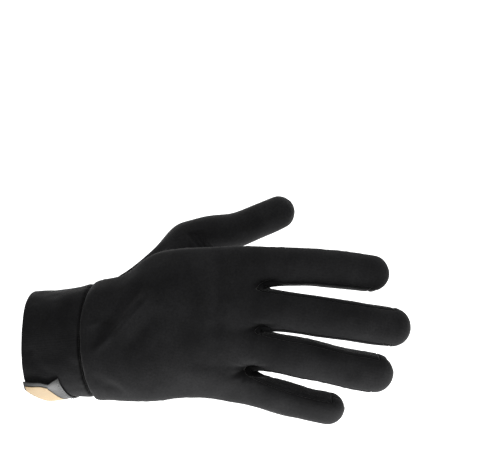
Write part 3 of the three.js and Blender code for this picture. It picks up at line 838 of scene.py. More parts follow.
@dataclass
class HandNet:
    """The glove's jersey from the cuff's seam on, built as one net and smoothed."""

    hand: Hand = field(default_factory=Hand)
    thumb: Thumb = field(default_factory=Thumb)
    web_mobility: float = 0.3
    relax_rounds: int = 4
    swell_rounds: int = 2
    levels: int = 3

    def fingers(self) -> list[Finger]:
        """The four fingers between their crotches."""
        ends = self.hand.crotches
        rows = (
            ("index", 0.91, 0.96, 0.96, -0.02, (-6, -10, -15), (7, 16, 27), 8),
            ("middle", 1, 1.02, 1, 0.08, (-13, -15, -10), (7, 16, 27), 0),
            ("ring", 0.93, 1, 0.97, 0.02, (-15.5, -19, -14), (8, 17, 28), -12),
            ("little", 0.67, 0.86, 0.86, -0.17, (-27.5, -21.5, -14), (9, 17, 27), -33),
        )
        return [Finger(*row, start=ends[i], end=ends[i + 1]) for i, row in enumerate(rows)]

    def root_row(self, roots: Array) -> Array:
        """Last row of the hand from the fingers' root loops; a corner that two fingers share is their mean.

        Args:
            roots: the loops, (fingers, columns, 3).

        Returns:
            Points, (hand's columns, 3).
        """
        top = np.concatenate([roots[:, :TOP].reshape(-1, 3), roots[-1:, TOP]])
        palm = roots[:, 2 * TOP + SIDE:TOP + SIDE:-1].reshape(-1, 3)
        palm = np.concatenate([palm, roots[-1:, TOP + SIDE]])
        inner = np.arange(1, FINGER_COUNT) * TOP
        top[inner] = (roots[:-1, TOP] + roots[1:, 0]) / 2
        palm[inner] = (roots[:-1, TOP + SIDE] + roots[1:, 2 * TOP + SIDE]) / 2
        return np.concatenate([
            top,
            roots[-1, TOP + 1:TOP + SIDE],
            palm[::-1],
            roots[0, 2 * TOP + SIDE + 1:],
        ])

    def hand_panels(self, rows: int) -> Array:
        """Panel of each quad of the hand, -1 in the thumb's notch."""
        column = np.arange(RING)
        back = (column < BACK + SIDE // 2) | (column >= RING - SIDE // 2)
        panel = np.broadcast_to(np.where(back, Panel.BACK.value, Panel.PALM.value), (rows, RING)).copy()
        panel[NOTCH_NEAR:NOTCH_FAR, PALM_END - NOTCH_PALM:RING - SIDE // 2] = -1
        return panel

    def finger_panels(self, number: int, rows: int, shaft: int) -> Array:
        """Panel of each quad of a finger: strips on the sides that face another finger, up to the tip."""
        column = np.arange(FINGER_RING)
        back = (column < TOP + SIDE // 2) | (column >= FINGER_RING - SIDE // 2)
        panel = np.where(back, Panel.BACK.value, Panel.PALM.value)
        panel = np.broadcast_to(panel, (rows, FINGER_RING)).copy()
        if number < FINGER_COUNT - 1:
            panel[:shaft, TOP:TOP + SIDE] = Panel.INDEX_MIDDLE.value + number
        if number > 0:
            panel[:shaft, 2 * TOP + SIDE:] = Panel.INDEX_MIDDLE.value + number - 1
        return panel

    def build(self) -> ClothNet:
        """Builds the coarse net of the hand, the fingers and the thumb."""
        net = ClothNet()
        fingers = self.fingers()
        roots = np.stack([finger.root() for finger in fingers])
        points, mobility = self.hand.grid(self.root_row(roots))
        hand = net.add(points, mobility)
        flat_back = np.stack([arc_round(points, BACK_CENTRE, -1), self.lengthwise(points)], -1)
        flat_palm = np.stack([arc_round(points, PALM_CENTRE, 1), self.lengthwise(points)], -1)
        closed = np.concatenate([hand, hand[:, :1]], axis=1)
        net.sew_band(closed, self.hand_panels(len(hand) - 1), np.stack([flat_back, flat_palm]))

        webs = (roots[:-1, TOP + 1:TOP + SIDE] + roots[1:, FINGER_RING - 1:FINGER_RING - SIDE:-1]) / 2
        web = net.add(webs, self.web_mobility)
        end = hand[-1]
        for number, finger in enumerate(fingers):
            ulnar = web[number] if number < FINGER_COUNT - 1 else end[BACK + 1:BACK + SIDE]
            radial = web[number - 1][::-1] if number > 0 else end[PALM_END + 1:]
            low = PALM_END - (number + 1) * TOP
            top = end[number * TOP:(number + 1) * TOP + 1]
            loop = np.concatenate([top, ulnar, end[low:low + TOP + 1], radial])
            tube = finger.tube()
            mobile = np.zeros(tube.shape[:-1])
            mobile[:2] = self.web_mobility
            numbers = np.vstack([loop[None], net.add(tube, mobile)])
            rings = [net.add(finger.tip_ring(side)) for side in range(TOP // 2 - 1, -1, -1)]
            self.sew_finger(net, number, finger, numbers, rings)
            log.info("%s finger: %d loops", finger.name, len(numbers))
        self.thumb.sew(net, hand)
        net.relax(self.relax_rounds)
        net.swell(self.swell_rounds)
        return net

    @staticmethod
    def lengthwise(points: Array) -> Array:
        """Place along the cut cloth: the points' own x, with the first column repeated at the end."""
        return np.concatenate([points[:, :, 0], points[:, :1, 0]], axis=1)

    def sew_finger(
        self, net: ClothNet, number: int, finger: Finger, numbers: Array, rings: list[Array]
    ) -> None:
        """Sews one finger's loops, and closes its tip with a square grid.

        Args:
            net: the glove's net.
            number: the finger's place from the thumb.
            finger: its sizes.
            numbers: its loops' point numbers, (rows, columns).
            rings: numbers of the rings in its tip.
        """
        points = np.concatenate(net.points)[numbers]
        length = self.lengthwise(points)
        back = np.stack([arc_round(points, TOP // 2, -1), length], -1)
        palm = np.stack([arc_round(points, TOP + SIDE + TOP // 2, 1), length], -1)
        sides = [np.stack([arc_round(points, TOP + SIDE // 2, -1), length], -1)] * 3
        closed = np.concatenate([numbers, numbers[:, :1]], axis=1)
        panels = self.finger_panels(number, len(numbers) - 1, finger.shaft_rows)
        net.sew_band(closed, panels, np.stack([back, palm, *sides, sides[0]]))
        cap = cap_grid(numbers[-1], rings)
        spots = np.concatenate(net.points)[cap][:, :, [1, 0]]
        half = np.arange(cap.shape[0] - 1) < TOP // 2
        panel = np.broadcast_to(np.where(half, Panel.BACK.value, Panel.PALM.value)[:, None], (TOP, TOP))
        net.sew_band(cap, panel, np.stack([spots, spots]))

    def smoothed(self) -> Cloth:
        """The net's smooth surface as arrays, split until its quads are well under a millimetre."""
        points, quads, panels, places = self.build().joined()
        mesh = bpy.data.meshes.new("cloth_net")
        fill_mesh(mesh, points, quads)
        mesh.uv_layers.new(name="cloth").uv.foreach_set("vector", places.reshape(-1).astype(np.float32))
        mesh.attributes.new("panel", "INT", "FACE").data.foreach_set("value", panels.astype(np.int32))
        piece = bpy.data.objects.new("cloth_net", mesh)
        bpy.context.scene.collection.objects.link(piece)
        split = piece.modifiers.new("split", "SUBSURF")
        split.levels = split.render_levels = self.levels
        fine = piece.evaluated_get(bpy.context.evaluated_depsgraph_get()).to_mesh()
        count = len(fine.polygons)
        xyz = np.empty(len(fine.vertices) * 3, np.float32)
        fine.vertices.foreach_get("co", xyz)
        corner = np.empty(count * 4, np.int32)
        fine.loops.foreach_get("vertex_index", corner)
        flat = np.empty(count * 8, np.float32)
        fine.uv_layers[0].uv.foreach_get("vector", flat)
        panel = np.empty(count, np.int32)
        fine.attributes["panel"].data.foreach_get("value", panel)
        cloth = Cloth(xyz.reshape(-1, 3).astype(float), corner.reshape(-1, 4), panel, flat.reshape(-1, 4, 2))
        bpy.data.objects.remove(piece)
        bpy.data.meshes.remove(mesh)
        log.info("cloth: %d points, %d quads", len(cloth.points), count)
        return cloth


def fill_mesh(mesh: bpy.types.Mesh, points: Array, quads: Array) -> None:
    """Puts points and quads into an empty mesh.

    Args:
        mesh: the mesh to fill.
        points: places, (n, 3).
        quads: point numbers, (m, 4).
    """
    mesh.vertices.add(len(points))
    mesh.vertices.foreach_set("co", points.reshape(-1).astype(np.float32))
    mesh.loops.add(quads.size)
    mesh.loops.foreach_set("vertex_index", quads.reshape(-1).astype(np.int32))
    mesh.polygons.add(len(quads))
    mesh.polygons.foreach_set("loop_start", np.arange(0, quads.size, 4, dtype=np.int32))
    mesh.polygons.foreach_set("use_smooth", np.ones(len(quads), bool))
    mesh.update(calc_edges=True)
    mesh.validate()


@dataclass(frozen=True)
class Ripple:
    """Slack of the cloth: soft noise of a height and a wave's length in millimetres, with its own seed."""

    height: float
    length: float
    seed: int

    def rise(self, points: Array) -> Array:
        """How far each point moves out."""
        return self.height * noise(points, self.length, self.seed)


@dataclass(frozen=True)
class Fold:
    """A fold or hollow in the upper side of the cloth, along a line in the plan of the glove.

    Its height over the cloth is `height` times a bell curve of the distance from the line over `width`. It
    fades past the line's ends over `fade`, and its line bows out by `bow` in the middle.
    """

    start: tuple[float, float]
    end: tuple[float, float]
    width: float
    height: float
    fade: float = 4.0
    bow: float = 0.0

    def rise(self, points: Array, normals: Array) -> Array:
        """How far each point moves out along its normal.

        Args:
            points: places, (n, 3).
            normals: unit normals, (n, 3).

        Returns:
            Distances in millimetres.
        """
        a, b = np.array(self.start), np.array(self.end)
        length = float(np.linalg.norm(b - a))
        way = (b - a) / length
        flat = points[:, :2] - a
        along = flat @ way
        t = along / length
        across = flat @ np.array([-way[1], way[0]]) - self.bow * 4 * t * (1 - t)
        ends = smooth(-self.fade, self.fade, along)
        ends *= 1 - smooth(length - self.fade, length + self.fade, along)
        facing = smooth(0.1, 0.5, normals[:, 2])
        return self.height * np.exp(-((across / self.width) ** 2)) * ends * facing


@dataclass(frozen=True)
class Pucker:
    """A dimple at a crotch with creases that run out from it, as where three seams are drawn together."""

    centre: tuple[float, float]
    radius: float
    depth: float
    creases: int
    reach: float
    phase: float
    shape: tuple[float, float] = (0.6, 1.2)
    crease_share: float = 0.12
    crease_wobble: float = 0.25
    # painted shade of the pit: its shift toward the wrist, its stretch, and its size as a share of the radius
    pit_back: float = 1.2
    pit_shape: tuple[float, float] = (0.5, 1.25)
    pit_share: float = 0.75

    def shade(self, points: Array) -> Array:
        """Painted shade of the drawn-in pit at each point, 0 to 1: a bell curve, longer along the hand."""
        flat = points[:, :2] - np.array(self.centre)
        far = np.linalg.norm((flat + [self.pit_back, 0]) * self.pit_shape, axis=1)
        return np.exp(-((far / (self.pit_share * self.radius)) ** 2))

    def rise(self, points: Array, normals: Array) -> Array:
        """Bell-shaped dimple, plus a wave round its centre that fades with the distance from it."""
        flat = points[:, :2] - np.array(self.centre)
        far = np.linalg.norm(flat * self.shape, axis=1)
        turn = np.arctan2(flat[:, 1], flat[:, 0])
        facing = smooth(0.0, 0.4, normals[:, 2])
        dimple = -self.depth * np.exp(-((far / self.radius) ** 2))
        wave = np.sin(self.creases * turn + self.phase + self.crease_wobble * np.sin(3 * turn))
        ring = np.exp(-(((far - self.radius) / self.reach) ** 2)) * smooth(0.5, self.radius, far)
        return (dimple + self.crease_share * self.depth * wave * ring) * facing


def wrist_shade(y: Array, least: float = 0.35, span: tuple[float, float] = (12, -4)) -> Array:
    """How much painted shade falls in the seam between the cuff and the hand at each y.

    Args:
        y: places across the wrist.
        least: the least painted shade, on the thumb's side.
        span: where the painted shade starts to grow, and where it is full, toward the little finger.

    Returns:
        Painted shade, the least to 1.
    """
    return mix(least, 1.0, smooth(*span, y))


def rounded_drop(near: Array) -> Array:
    """Quarter circle from 0 where nearness is 0 down to 1 where it is 1."""
    return 1 - np.sqrt(np.maximum(1 - near**2, 0))


@dataclass
class Sewing:
    """What sewing and wearing do to the smooth cloth: seams sunk between panels, folds, puckers and slack."""

    seam_depth: float = 0.55
    seam_width: float = 1.5
    # painted shade along the seams: how dark, and how far from them it reaches
    seam_shade: float = 0.45
    seam_shade_width: float = 0.8
    gather: Ripple = Ripple(0.18, 4.6, 3)
    gather_width: float = 2.6
    wrist_depth: float = 2.2
    wrist_shares: tuple[float, float] = (0.75, 1.15)
    wrist_span: tuple[float, float] = (10.0, -12.0)
    wrist_width: float = 3.4
    wrist_shade_width: float = 1.8
    roll_place: float = 4.5
    roll_width: float = 3.0
    roll_heights: tuple[float, float] = (0.8, 0.2)
    roll_span: tuple[float, float] = (18.0, 34.0)
    slack: tuple[Ripple, ...] = (Ripple(0.30, 34, 1), Ripple(0.10, 13, 2))
    folds: tuple[Fold, ...] = (
        Fold((47.0, 2.5), (71.5, 28.0), 3.8, -2.8, 7, bow=0.8),
        Fold((45.5, -6.5), (76.0, 21.0), 2.2, 1.5, 6, bow=0.8),
        Fold((54.0, 1.0), (73.5, 19.0), 1.2, -1.0, 4, bow=0.6),
        Fold((59.0, -7.0), (81.0, 12.0), 5.0, -1.5, 6),
        Fold((42.5, 7.0), (53.0, 10.8), 1.6, 0.7, 3),
        Fold((43.0, -21.5), (50.5, -30.5), 3.2, -1.1, 4),
        Fold((50.0, -27.0), (55.5, -33.5), 2.4, -0.8, 4),
        Fold((113.0, -4.0), (116.5, 42.0), 4.2, -2.4, 6),
    )
    thumb_folds: tuple[Fold, ...] = (
        Fold((96.0, 55.0), (101.4, 46.0), 1.1, -2.2, 1.5, bow=0.3),
        Fold((99.2, 55.0), (104.4, 45.6), 1.1, -2.4, 1.5, bow=0.3),
        Fold((102.4, 55.0), (107.6, 44.8), 1.1, -1.7, 1.5, bow=0.3),
    )
    puckers: tuple[Pucker, ...] = (
        Pucker((141.5, 21.0), 3.2, 3.2, 9, 2.4, 0.4),
        Pucker((136.5, -3.4), 3.2, 3.2, 9, 2.4, 1.7),
        Pucker((126.5, -27.0), 3.9, 3.8, 10, 3.0, 2.9),
    )

    def dress(self, cloth: Cloth) -> Array:
        """Moves the cloth's points to the finished surface.

        Args:
            cloth: the smooth surface.

        Returns:
            Painted shade at each point, for its place in a pit or a tight seam, 0 to 1.
        """
        points, normals = cloth.points, cloth.normals()
        seams = np.union1d(cloth.seam_points(), cloth.rim_points())
        away = nearest(points, points[seams])
        rise = sum(ripple.rise(points) for ripple in self.slack)
        for form in (*self.folds, *self.puckers):
            rise += form.rise(points, normals)
        on_thumb = self.thumb_mask(cloth)
        for fold in self.thumb_folds:
            rise += fold.rise(points, normals) * on_thumb
        rise += self.seam_rise(points, away) + self.wrist_rise(points)
        cloth.points = WORN_CUFF.moved(points + normals * rise[:, None])
        return self.shade(points, away)

    def seam_rise(self, points: Array, away: Array) -> Array:
        """Round drop into each seam, and the cloth gathered along it.

        Args:
            points: places, (n, 3).
            away: distance of each from the nearest seam.

        Returns:
            Distances along the normals.
        """
        drop = self.seam_depth * rounded_drop(np.maximum(1 - away / self.seam_width, 0))
        return self.gather.rise(points) * np.exp(-((away / self.gather_width) ** 2)) - drop

    def wrist_rise(self, points: Array) -> Array:
        """Drop into the cuff's seam, deeper toward the little finger, and the roll of cloth beside it."""
        x, y = points[:, 0] - SIZES.cuff_length, points[:, 1]
        drop = rounded_drop(np.maximum(1 - np.maximum(x, 0) / self.wrist_width, 0))
        depth = self.wrist_depth * mix(*self.wrist_shares, smooth(*self.wrist_span, y))
        roll = np.exp(-(((x - self.roll_place) / self.roll_width) ** 2))
        return mix(*self.roll_heights, smooth(*self.roll_span, np.abs(y))) * roll - depth * drop

    def shade(self, points: Array, away: Array) -> Array:
        """Painted shade at each point: in a pucker's pit, a seam or the cuff's seam, whichever is the most.

        Args:
            points: places before they are moved, (n, 3).
            away: distance of each from the nearest seam.

        Returns:
            Painted shade, 0 to 1.
        """
        pits = np.max([pucker.shade(points) for pucker in self.puckers], axis=0)
        seams = self.seam_shade * np.maximum(1 - away / self.seam_shade_width, 0)
        near = np.maximum(1 - (points[:, 0] - SIZES.cuff_length) / self.wrist_shade_width, 0)
        return np.max([pits, seams, wrist_shade(points[:, 1]) * near**0.5], axis=0)

    @staticmethod
    def thumb_mask(cloth: Cloth) -> Array:
        """1 at the thumb's points and 0 elsewhere."""
        mask = np.zeros(len(cloth.points))
        mask[cloth.quads[cloth.panel == Panel.THUMB.value].reshape(-1)] = 1
        return mask


def srgb(code: str) -> tuple[float, float, float, float]:
    """Linear colour of an sRGB hex value."""
    parts = np.array([int(code[i:i + 2], 16) for i in (1, 3, 5)]) / 255
    linear = np.where(parts <= 0.04045, parts / 12.92, ((parts + 0.055) / 1.055) ** 2.4)
    return (*linear.tolist(), 1.0)


def add_node(
    tree: bpy.types.NodeTree, kind: str, inputs: dict[str | int, object] | None = None, **settings: object
) -> bpy.types.Node:
    """Adds a node with its settings, and with values or links on its inputs.

    Args:
        tree: the material's node tree.
        kind: the node's type name.
        inputs: values or output sockets by input name or number.
        **settings: properties of the node.

    Returns:
        The node.
    """
    node = tree.nodes.new(kind)
    for name, value in settings.items():
        setattr(node, name, value)
    for name, value in (inputs or {}).items():
        if isinstance(value, bpy.types.NodeSocket):
            tree.links.new(value, node.inputs[name])
        else:
            node.inputs[name].default_value = value
    return node


def new_material(name: str) -> tuple[bpy.types.Material, bpy.types.NodeTree, bpy.types.Node]:
    """Empty material with its shader linked to the output."""
    material = bpy.data.materials.new(name)
    material.use_nodes = True
    tree = material.node_tree
    tree.nodes.clear()
    shader = add_node(tree, "ShaderNodeBsdfPrincipled")
    add_node(tree, "ShaderNodeOutputMaterial", {"Surface": shader.outputs[0]})
    return material, tree, shader


@dataclass(frozen=True)
class BrushedJersey:
    """Polyester and elastane jersey, knitted and brushed: dull black, with fine wales along the glove.

    Its short nap catches light at grazing angles.
    """

    name: str = "black_brushed_stretch_jersey"
    colour: str = "#151516"
    pale: str = "#252526"
    painted_shade_colour: str = "#040404"  # painted shade: near black for cloth drawn together so tightly that no light gets between
    roughness: float = 0.85
    sheen: float = 0.12
    sheen_roughness: float = 0.35
    specular: float = 0.12
    wale: float = 0.85  # millimetres, about twice a real one, so that it shows
    course: float = 0.68
    nap_scale: float = 900.0
    nap_relief: float = 0.6
    patch_scale: float = 55.0
    knit_share: float = 0.12
    tones: tuple[float, float] = (0.14, 0.42)
    relief: float = 0.2

    def material(self) -> bpy.types.Material:
        """Waves on the flat cloth's own map give the wales and courses, and soft noise the nap; the stored
        shade paints shade toward near black.
        """
        material, tree, shader = new_material(self.name)
        flat = add_node(tree, "ShaderNodeUVMap", uv_map="cloth")
        scaled = add_node(tree, "ShaderNodeMapping", {
            "Vector": flat.outputs[0], "Scale": (1 / METRE, 1 / METRE, 1 / METRE),
        })
        wales, courses = (
            add_node(tree, "ShaderNodeTexWave", {
                "Vector": scaled.outputs[0], "Scale": WAVE_BAND / spacing, "Distortion": distortion,
                "Detail": 2.0, "Detail Scale": 0.6,
            }, bands_direction=way)
            for way, spacing, distortion in (("X", self.wale, 0.6), ("Y", self.course, 0.8))
        )
        knit = add_node(tree, "ShaderNodeMath", {
            0: wales.outputs[1], 1: courses.outputs[1],
        }, operation="MULTIPLY")
        place = add_node(tree, "ShaderNodeTexCoord")
        nap = add_node(tree, "ShaderNodeTexNoise", {
            "Vector": place.outputs["Object"], "Scale": self.nap_scale, "Detail": 4.0, "Roughness": 0.7,
        })
        patches = add_node(tree, "ShaderNodeTexNoise", {
            "Vector": place.outputs["Object"], "Scale": self.patch_scale, "Detail": 3.0, "Roughness": 0.55,
        })
        tone = add_node(tree, "ShaderNodeMath", {
            0: nap.outputs[0], 1: patches.outputs[0],
        }, operation="MULTIPLY")
        rows = add_node(tree, "ShaderNodeMath", {
            0: knit.outputs[0], 1: self.knit_share, 2: tone.outputs[0],
        }, operation="MULTIPLY_ADD")
        ramp = add_node(tree, "ShaderNodeMapRange", {
            "Value": rows.outputs[0], "From Min": self.tones[0], "From Max": self.tones[1],
        })
        colour = add_node(tree, "ShaderNodeMix", {
            "Factor": ramp.outputs[0], "A": srgb(self.colour), "B": srgb(self.pale),
        }, data_type="RGBA")
        # painted shade: the stored shade mixes the colour toward near black in pits and seams
        pit = add_node(tree, "ShaderNodeAttribute", attribute_name="shade")
        shaded = add_node(tree, "ShaderNodeMix", {
            "Factor": pit.outputs["Fac"], "A": colour.outputs["Result"], "B": srgb(self.painted_shade_colour),
        }, data_type="RGBA")
        height = add_node(tree, "ShaderNodeMath", {
            0: nap.outputs[0], 1: self.nap_relief, 2: knit.outputs[0],
        }, operation="MULTIPLY_ADD")
        bump = add_node(tree, "ShaderNodeBump", {
            "Height": height.outputs[0], "Strength": 0.5, "Distance": self.relief * METRE,
        })
        tree.links.new(shaded.outputs["Result"], shader.inputs["Base Color"])
        tree.links.new(bump.outputs[0], shader.inputs["Normal"])
        shader.inputs["Roughness"].default_value = self.roughness
        shader.inputs["Specular IOR Level"].default_value = self.specular
        shader.inputs["Sheen Weight"].default_value = self.sheen
        shader.inputs["Sheen Roughness"].default_value = self.sheen_roughness
        return material


@dataclass(frozen=True)
class CoatedTape:
    """Grey polyester tape with a smooth coating, as a woven label's backing: a soft, even gloss."""

    name: str = "grey_coated_label_tape"
    colour: str = "#252627"
    pale: str = "#313233"
    wave_scale: float = 420.0  # twill lines about 0.86 mm apart
    drift_scale: float = 160.0
    relief: float = 0.05
    roughness: float = 0.5

    def material(self) -> bpy.types.Material:
        """Twill lines with a little colour drift."""
        material, tree, shader = new_material(self.name)
        place = add_node(tree, "ShaderNodeTexCoord")
        twill = add_node(tree, "ShaderNodeTexWave", {
            "Vector": place.outputs["Object"], "Scale": self.wave_scale, "Distortion": 0.5, "Detail": 1.0,
        }, bands_direction="DIAGONAL")
        drift = add_node(tree, "ShaderNodeTexNoise", {
            "Vector": place.outputs["Object"], "Scale": self.drift_scale, "Detail": 3.0,
        })
        tone = add_node(tree, "ShaderNodeMath", {
            0: twill.outputs[1], 1: drift.outputs[0],
        }, operation="MULTIPLY")
        colour = add_node(tree, "ShaderNodeMix", {
            "Factor": tone.outputs[0], "A": srgb(self.colour), "B": srgb(self.pale),
        }, data_type="RGBA")
        bump = add_node(tree, "ShaderNodeBump", {
            "Height": twill.outputs[1], "Strength": 0.3, "Distance": self.relief * METRE,
        })
        tree.links.new(colour.outputs["Result"], shader.inputs["Base Color"])
        tree.links.new(bump.outputs[0], shader.inputs["Normal"])
        shader.inputs["Roughness"].default_value = self.roughness
        return material


@dataclass(frozen=True)
class LabelThread:
    """Light grey spun polyester sewing thread, which draws a pale broken line near the tab's end."""

    name: str = "light_grey_polyester_thread"
    colour: str = "#6f7173"
    wave_scale: float = 1250.0  # plies about 0.29 mm apart
    relief: float = 0.06
    roughness: float = 0.6

    def material(self) -> bpy.types.Material:
        """Slanting plies."""
        material, tree, shader = new_material(self.name)
        place = add_node(tree, "ShaderNodeTexCoord")
        plies = add_node(tree, "ShaderNodeTexWave", {
            "Vector": place.outputs["Object"], "Scale": self.wave_scale, "Distortion": 0.3,
        }, bands_direction="DIAGONAL")
        bump = add_node(tree, "ShaderNodeBump", {
            "Height": plies.outputs[1], "Strength": 0.4, "Distance": self.relief * METRE,
        })
        tree.links.new(bump.outputs[0], shader.inputs["Normal"])
        shader.inputs["Base Color"].default_value = srgb(self.colour)
        shader.inputs["Roughness"].default_value = self.roughness
        return material


@dataclass(frozen=True)
class WovenSatin:
    """Tan damask label cloth: close satin weave with a low silky gloss."""

    name: str = "tan_woven_label_satin"
    colour: str = "#9d8663"
    pale: str = "#ac9672"
    wave_scale: float = 900.0  # threads 0.35 mm apart
    drift_scale: float = 300.0
    relief: float = 0.04
    roughness: float = 0.55
    sheen: float = 0.1

    def material(self) -> bpy.types.Material:
        """Threads across, with their colour and relief."""
        material, tree, shader = new_material(self.name)
        place = add_node(tree, "ShaderNodeTexCoord")
        across = add_node(tree, "ShaderNodeTexWave", {
            "Vector": place.outputs["Object"], "Scale": self.wave_scale, "Distortion": 0.4, "Detail": 1.0,
        }, bands_direction="X")
        drift = add_node(tree, "ShaderNodeTexNoise", {
            "Vector": place.outputs["Object"], "Scale": self.drift_scale, "Detail": 3.0,
        })
        tone = add_node(tree, "ShaderNodeMath", {
            0: across.outputs[1], 1: drift.outputs[0],
        }, operation="MULTIPLY")
        colour = add_node(tree, "ShaderNodeMix", {
            "Factor": tone.outputs[0], "A": srgb(self.colour), "B": srgb(self.pale),
        }, data_type="RGBA")
        bump = add_node(tree, "ShaderNodeBump", {
            "Height": across.outputs[1], "Strength": 0.3, "Distance": self.relief * METRE,
        })
        tree.links.new(colour.outputs["Result"], shader.inputs["Base Color"])
        tree.links.new(bump.outputs[0], shader.inputs["Normal"])
        shader.inputs["Roughness"].default_value = self.roughness
        shader.inputs["Sheen Weight"].default_value = self.sheen
        return material


@dataclass(frozen=True)
class PaperGround:
    """White paper lit from behind: an even white ground."""

    name: str = "white_paper_ground"
    colour: str = "#f8f8f8"
    roughness: float = 0.9
    glow: float = 0.9

    def material(self) -> bpy.types.Material:
        """Plain paper that gives off light of its own."""
        material, _, shader = new_material(self.name)
        shader.inputs["Base Color"].default_value = srgb(self.colour)
        shader.inputs["Roughness"].default_value = self.roughness
        shader.inputs["Emission Color"].default_value = (1, 1, 1, 1)
        shader.inputs["Emission Strength"].default_value = self.glow
        return material


def make_piece(name: str, points: Array, quads: Array, places: Array | None = None) -> bpy.types.Object:
    """New object in the scene, with its place in its mesh, in metres.

    Args:
        name: the piece's name.
        points: places in millimetres, (n, 3).
        quads: point numbers, (m, 4).
        places: corner places on the flat cloth in millimetres, (m, 4, 2).

    Returns:
        The object.
    """
    mesh = bpy.data.meshes.new(name)
    fill_mesh(mesh, points * METRE, quads)
    if places is not None:
        layer = mesh.uv_layers.new(name="cloth")
        layer.uv.foreach_set("vector", (places * METRE).reshape(-1).astype(np.float32))
    piece = bpy.data.objects.new(name, mesh)
    bpy.context.scene.collection.objects.link(piece)
    return piece


def thicken(piece: bpy.types.Object, thickness: float) -> None:
    """Gives an open surface its wall, inward from its outer face."""
    wall = piece.modifiers.new("wall", "SOLIDIFY")
    wall.thickness = thickness * METRE
    wall.offset = -1
    wall.use_even_offset = False
    wall.use_rim = True


def add_shade(piece: bpy.types.Object, shade: Array) -> None:
    """Stores the painted shade of pits and seams at each point, for the jersey's material."""
    depth = piece.data.attributes.new("shade", "FLOAT", "POINT")
    depth.data.foreach_set("value", shade.reshape(-1).astype(np.float32))


@dataclass
class JerseyPanels:
    """The cut panels of the glove, each one a piece."""

    net: HandNet = field(default_factory=HandNet)
    sewing: Sewing = field(default_factory=Sewing)
    finish: BrushedJersey = field(default_factory=BrushedJersey)

    def build(self) -> list[bpy.types.Object]:
        """Smooths and dresses the cloth, and cuts it along its seams."""
        cloth = self.net.smoothed()
        shade = self.sewing.dress(cloth)
        material = self.finish.material()
        pieces = []
        for panel in Panel:
            mine = cloth.panel == panel.value
            used, corners = np.unique(cloth.quads[mine], return_inverse=True)
            quads = corners.reshape(-1, 4)
            piece = make_piece(f"{panel.node}_cloth", cloth.points[used], quads, cloth.places[mine])
            add_shade(piece, shade[used])
            thicken(piece, SIZES.wall)
            piece.data.materials.append(material)
            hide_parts(panel.node)
            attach(piece, "root")
            pieces.append(piece)
            log.info("%s: %d quads", piece.name, len(quads))
        return pieces


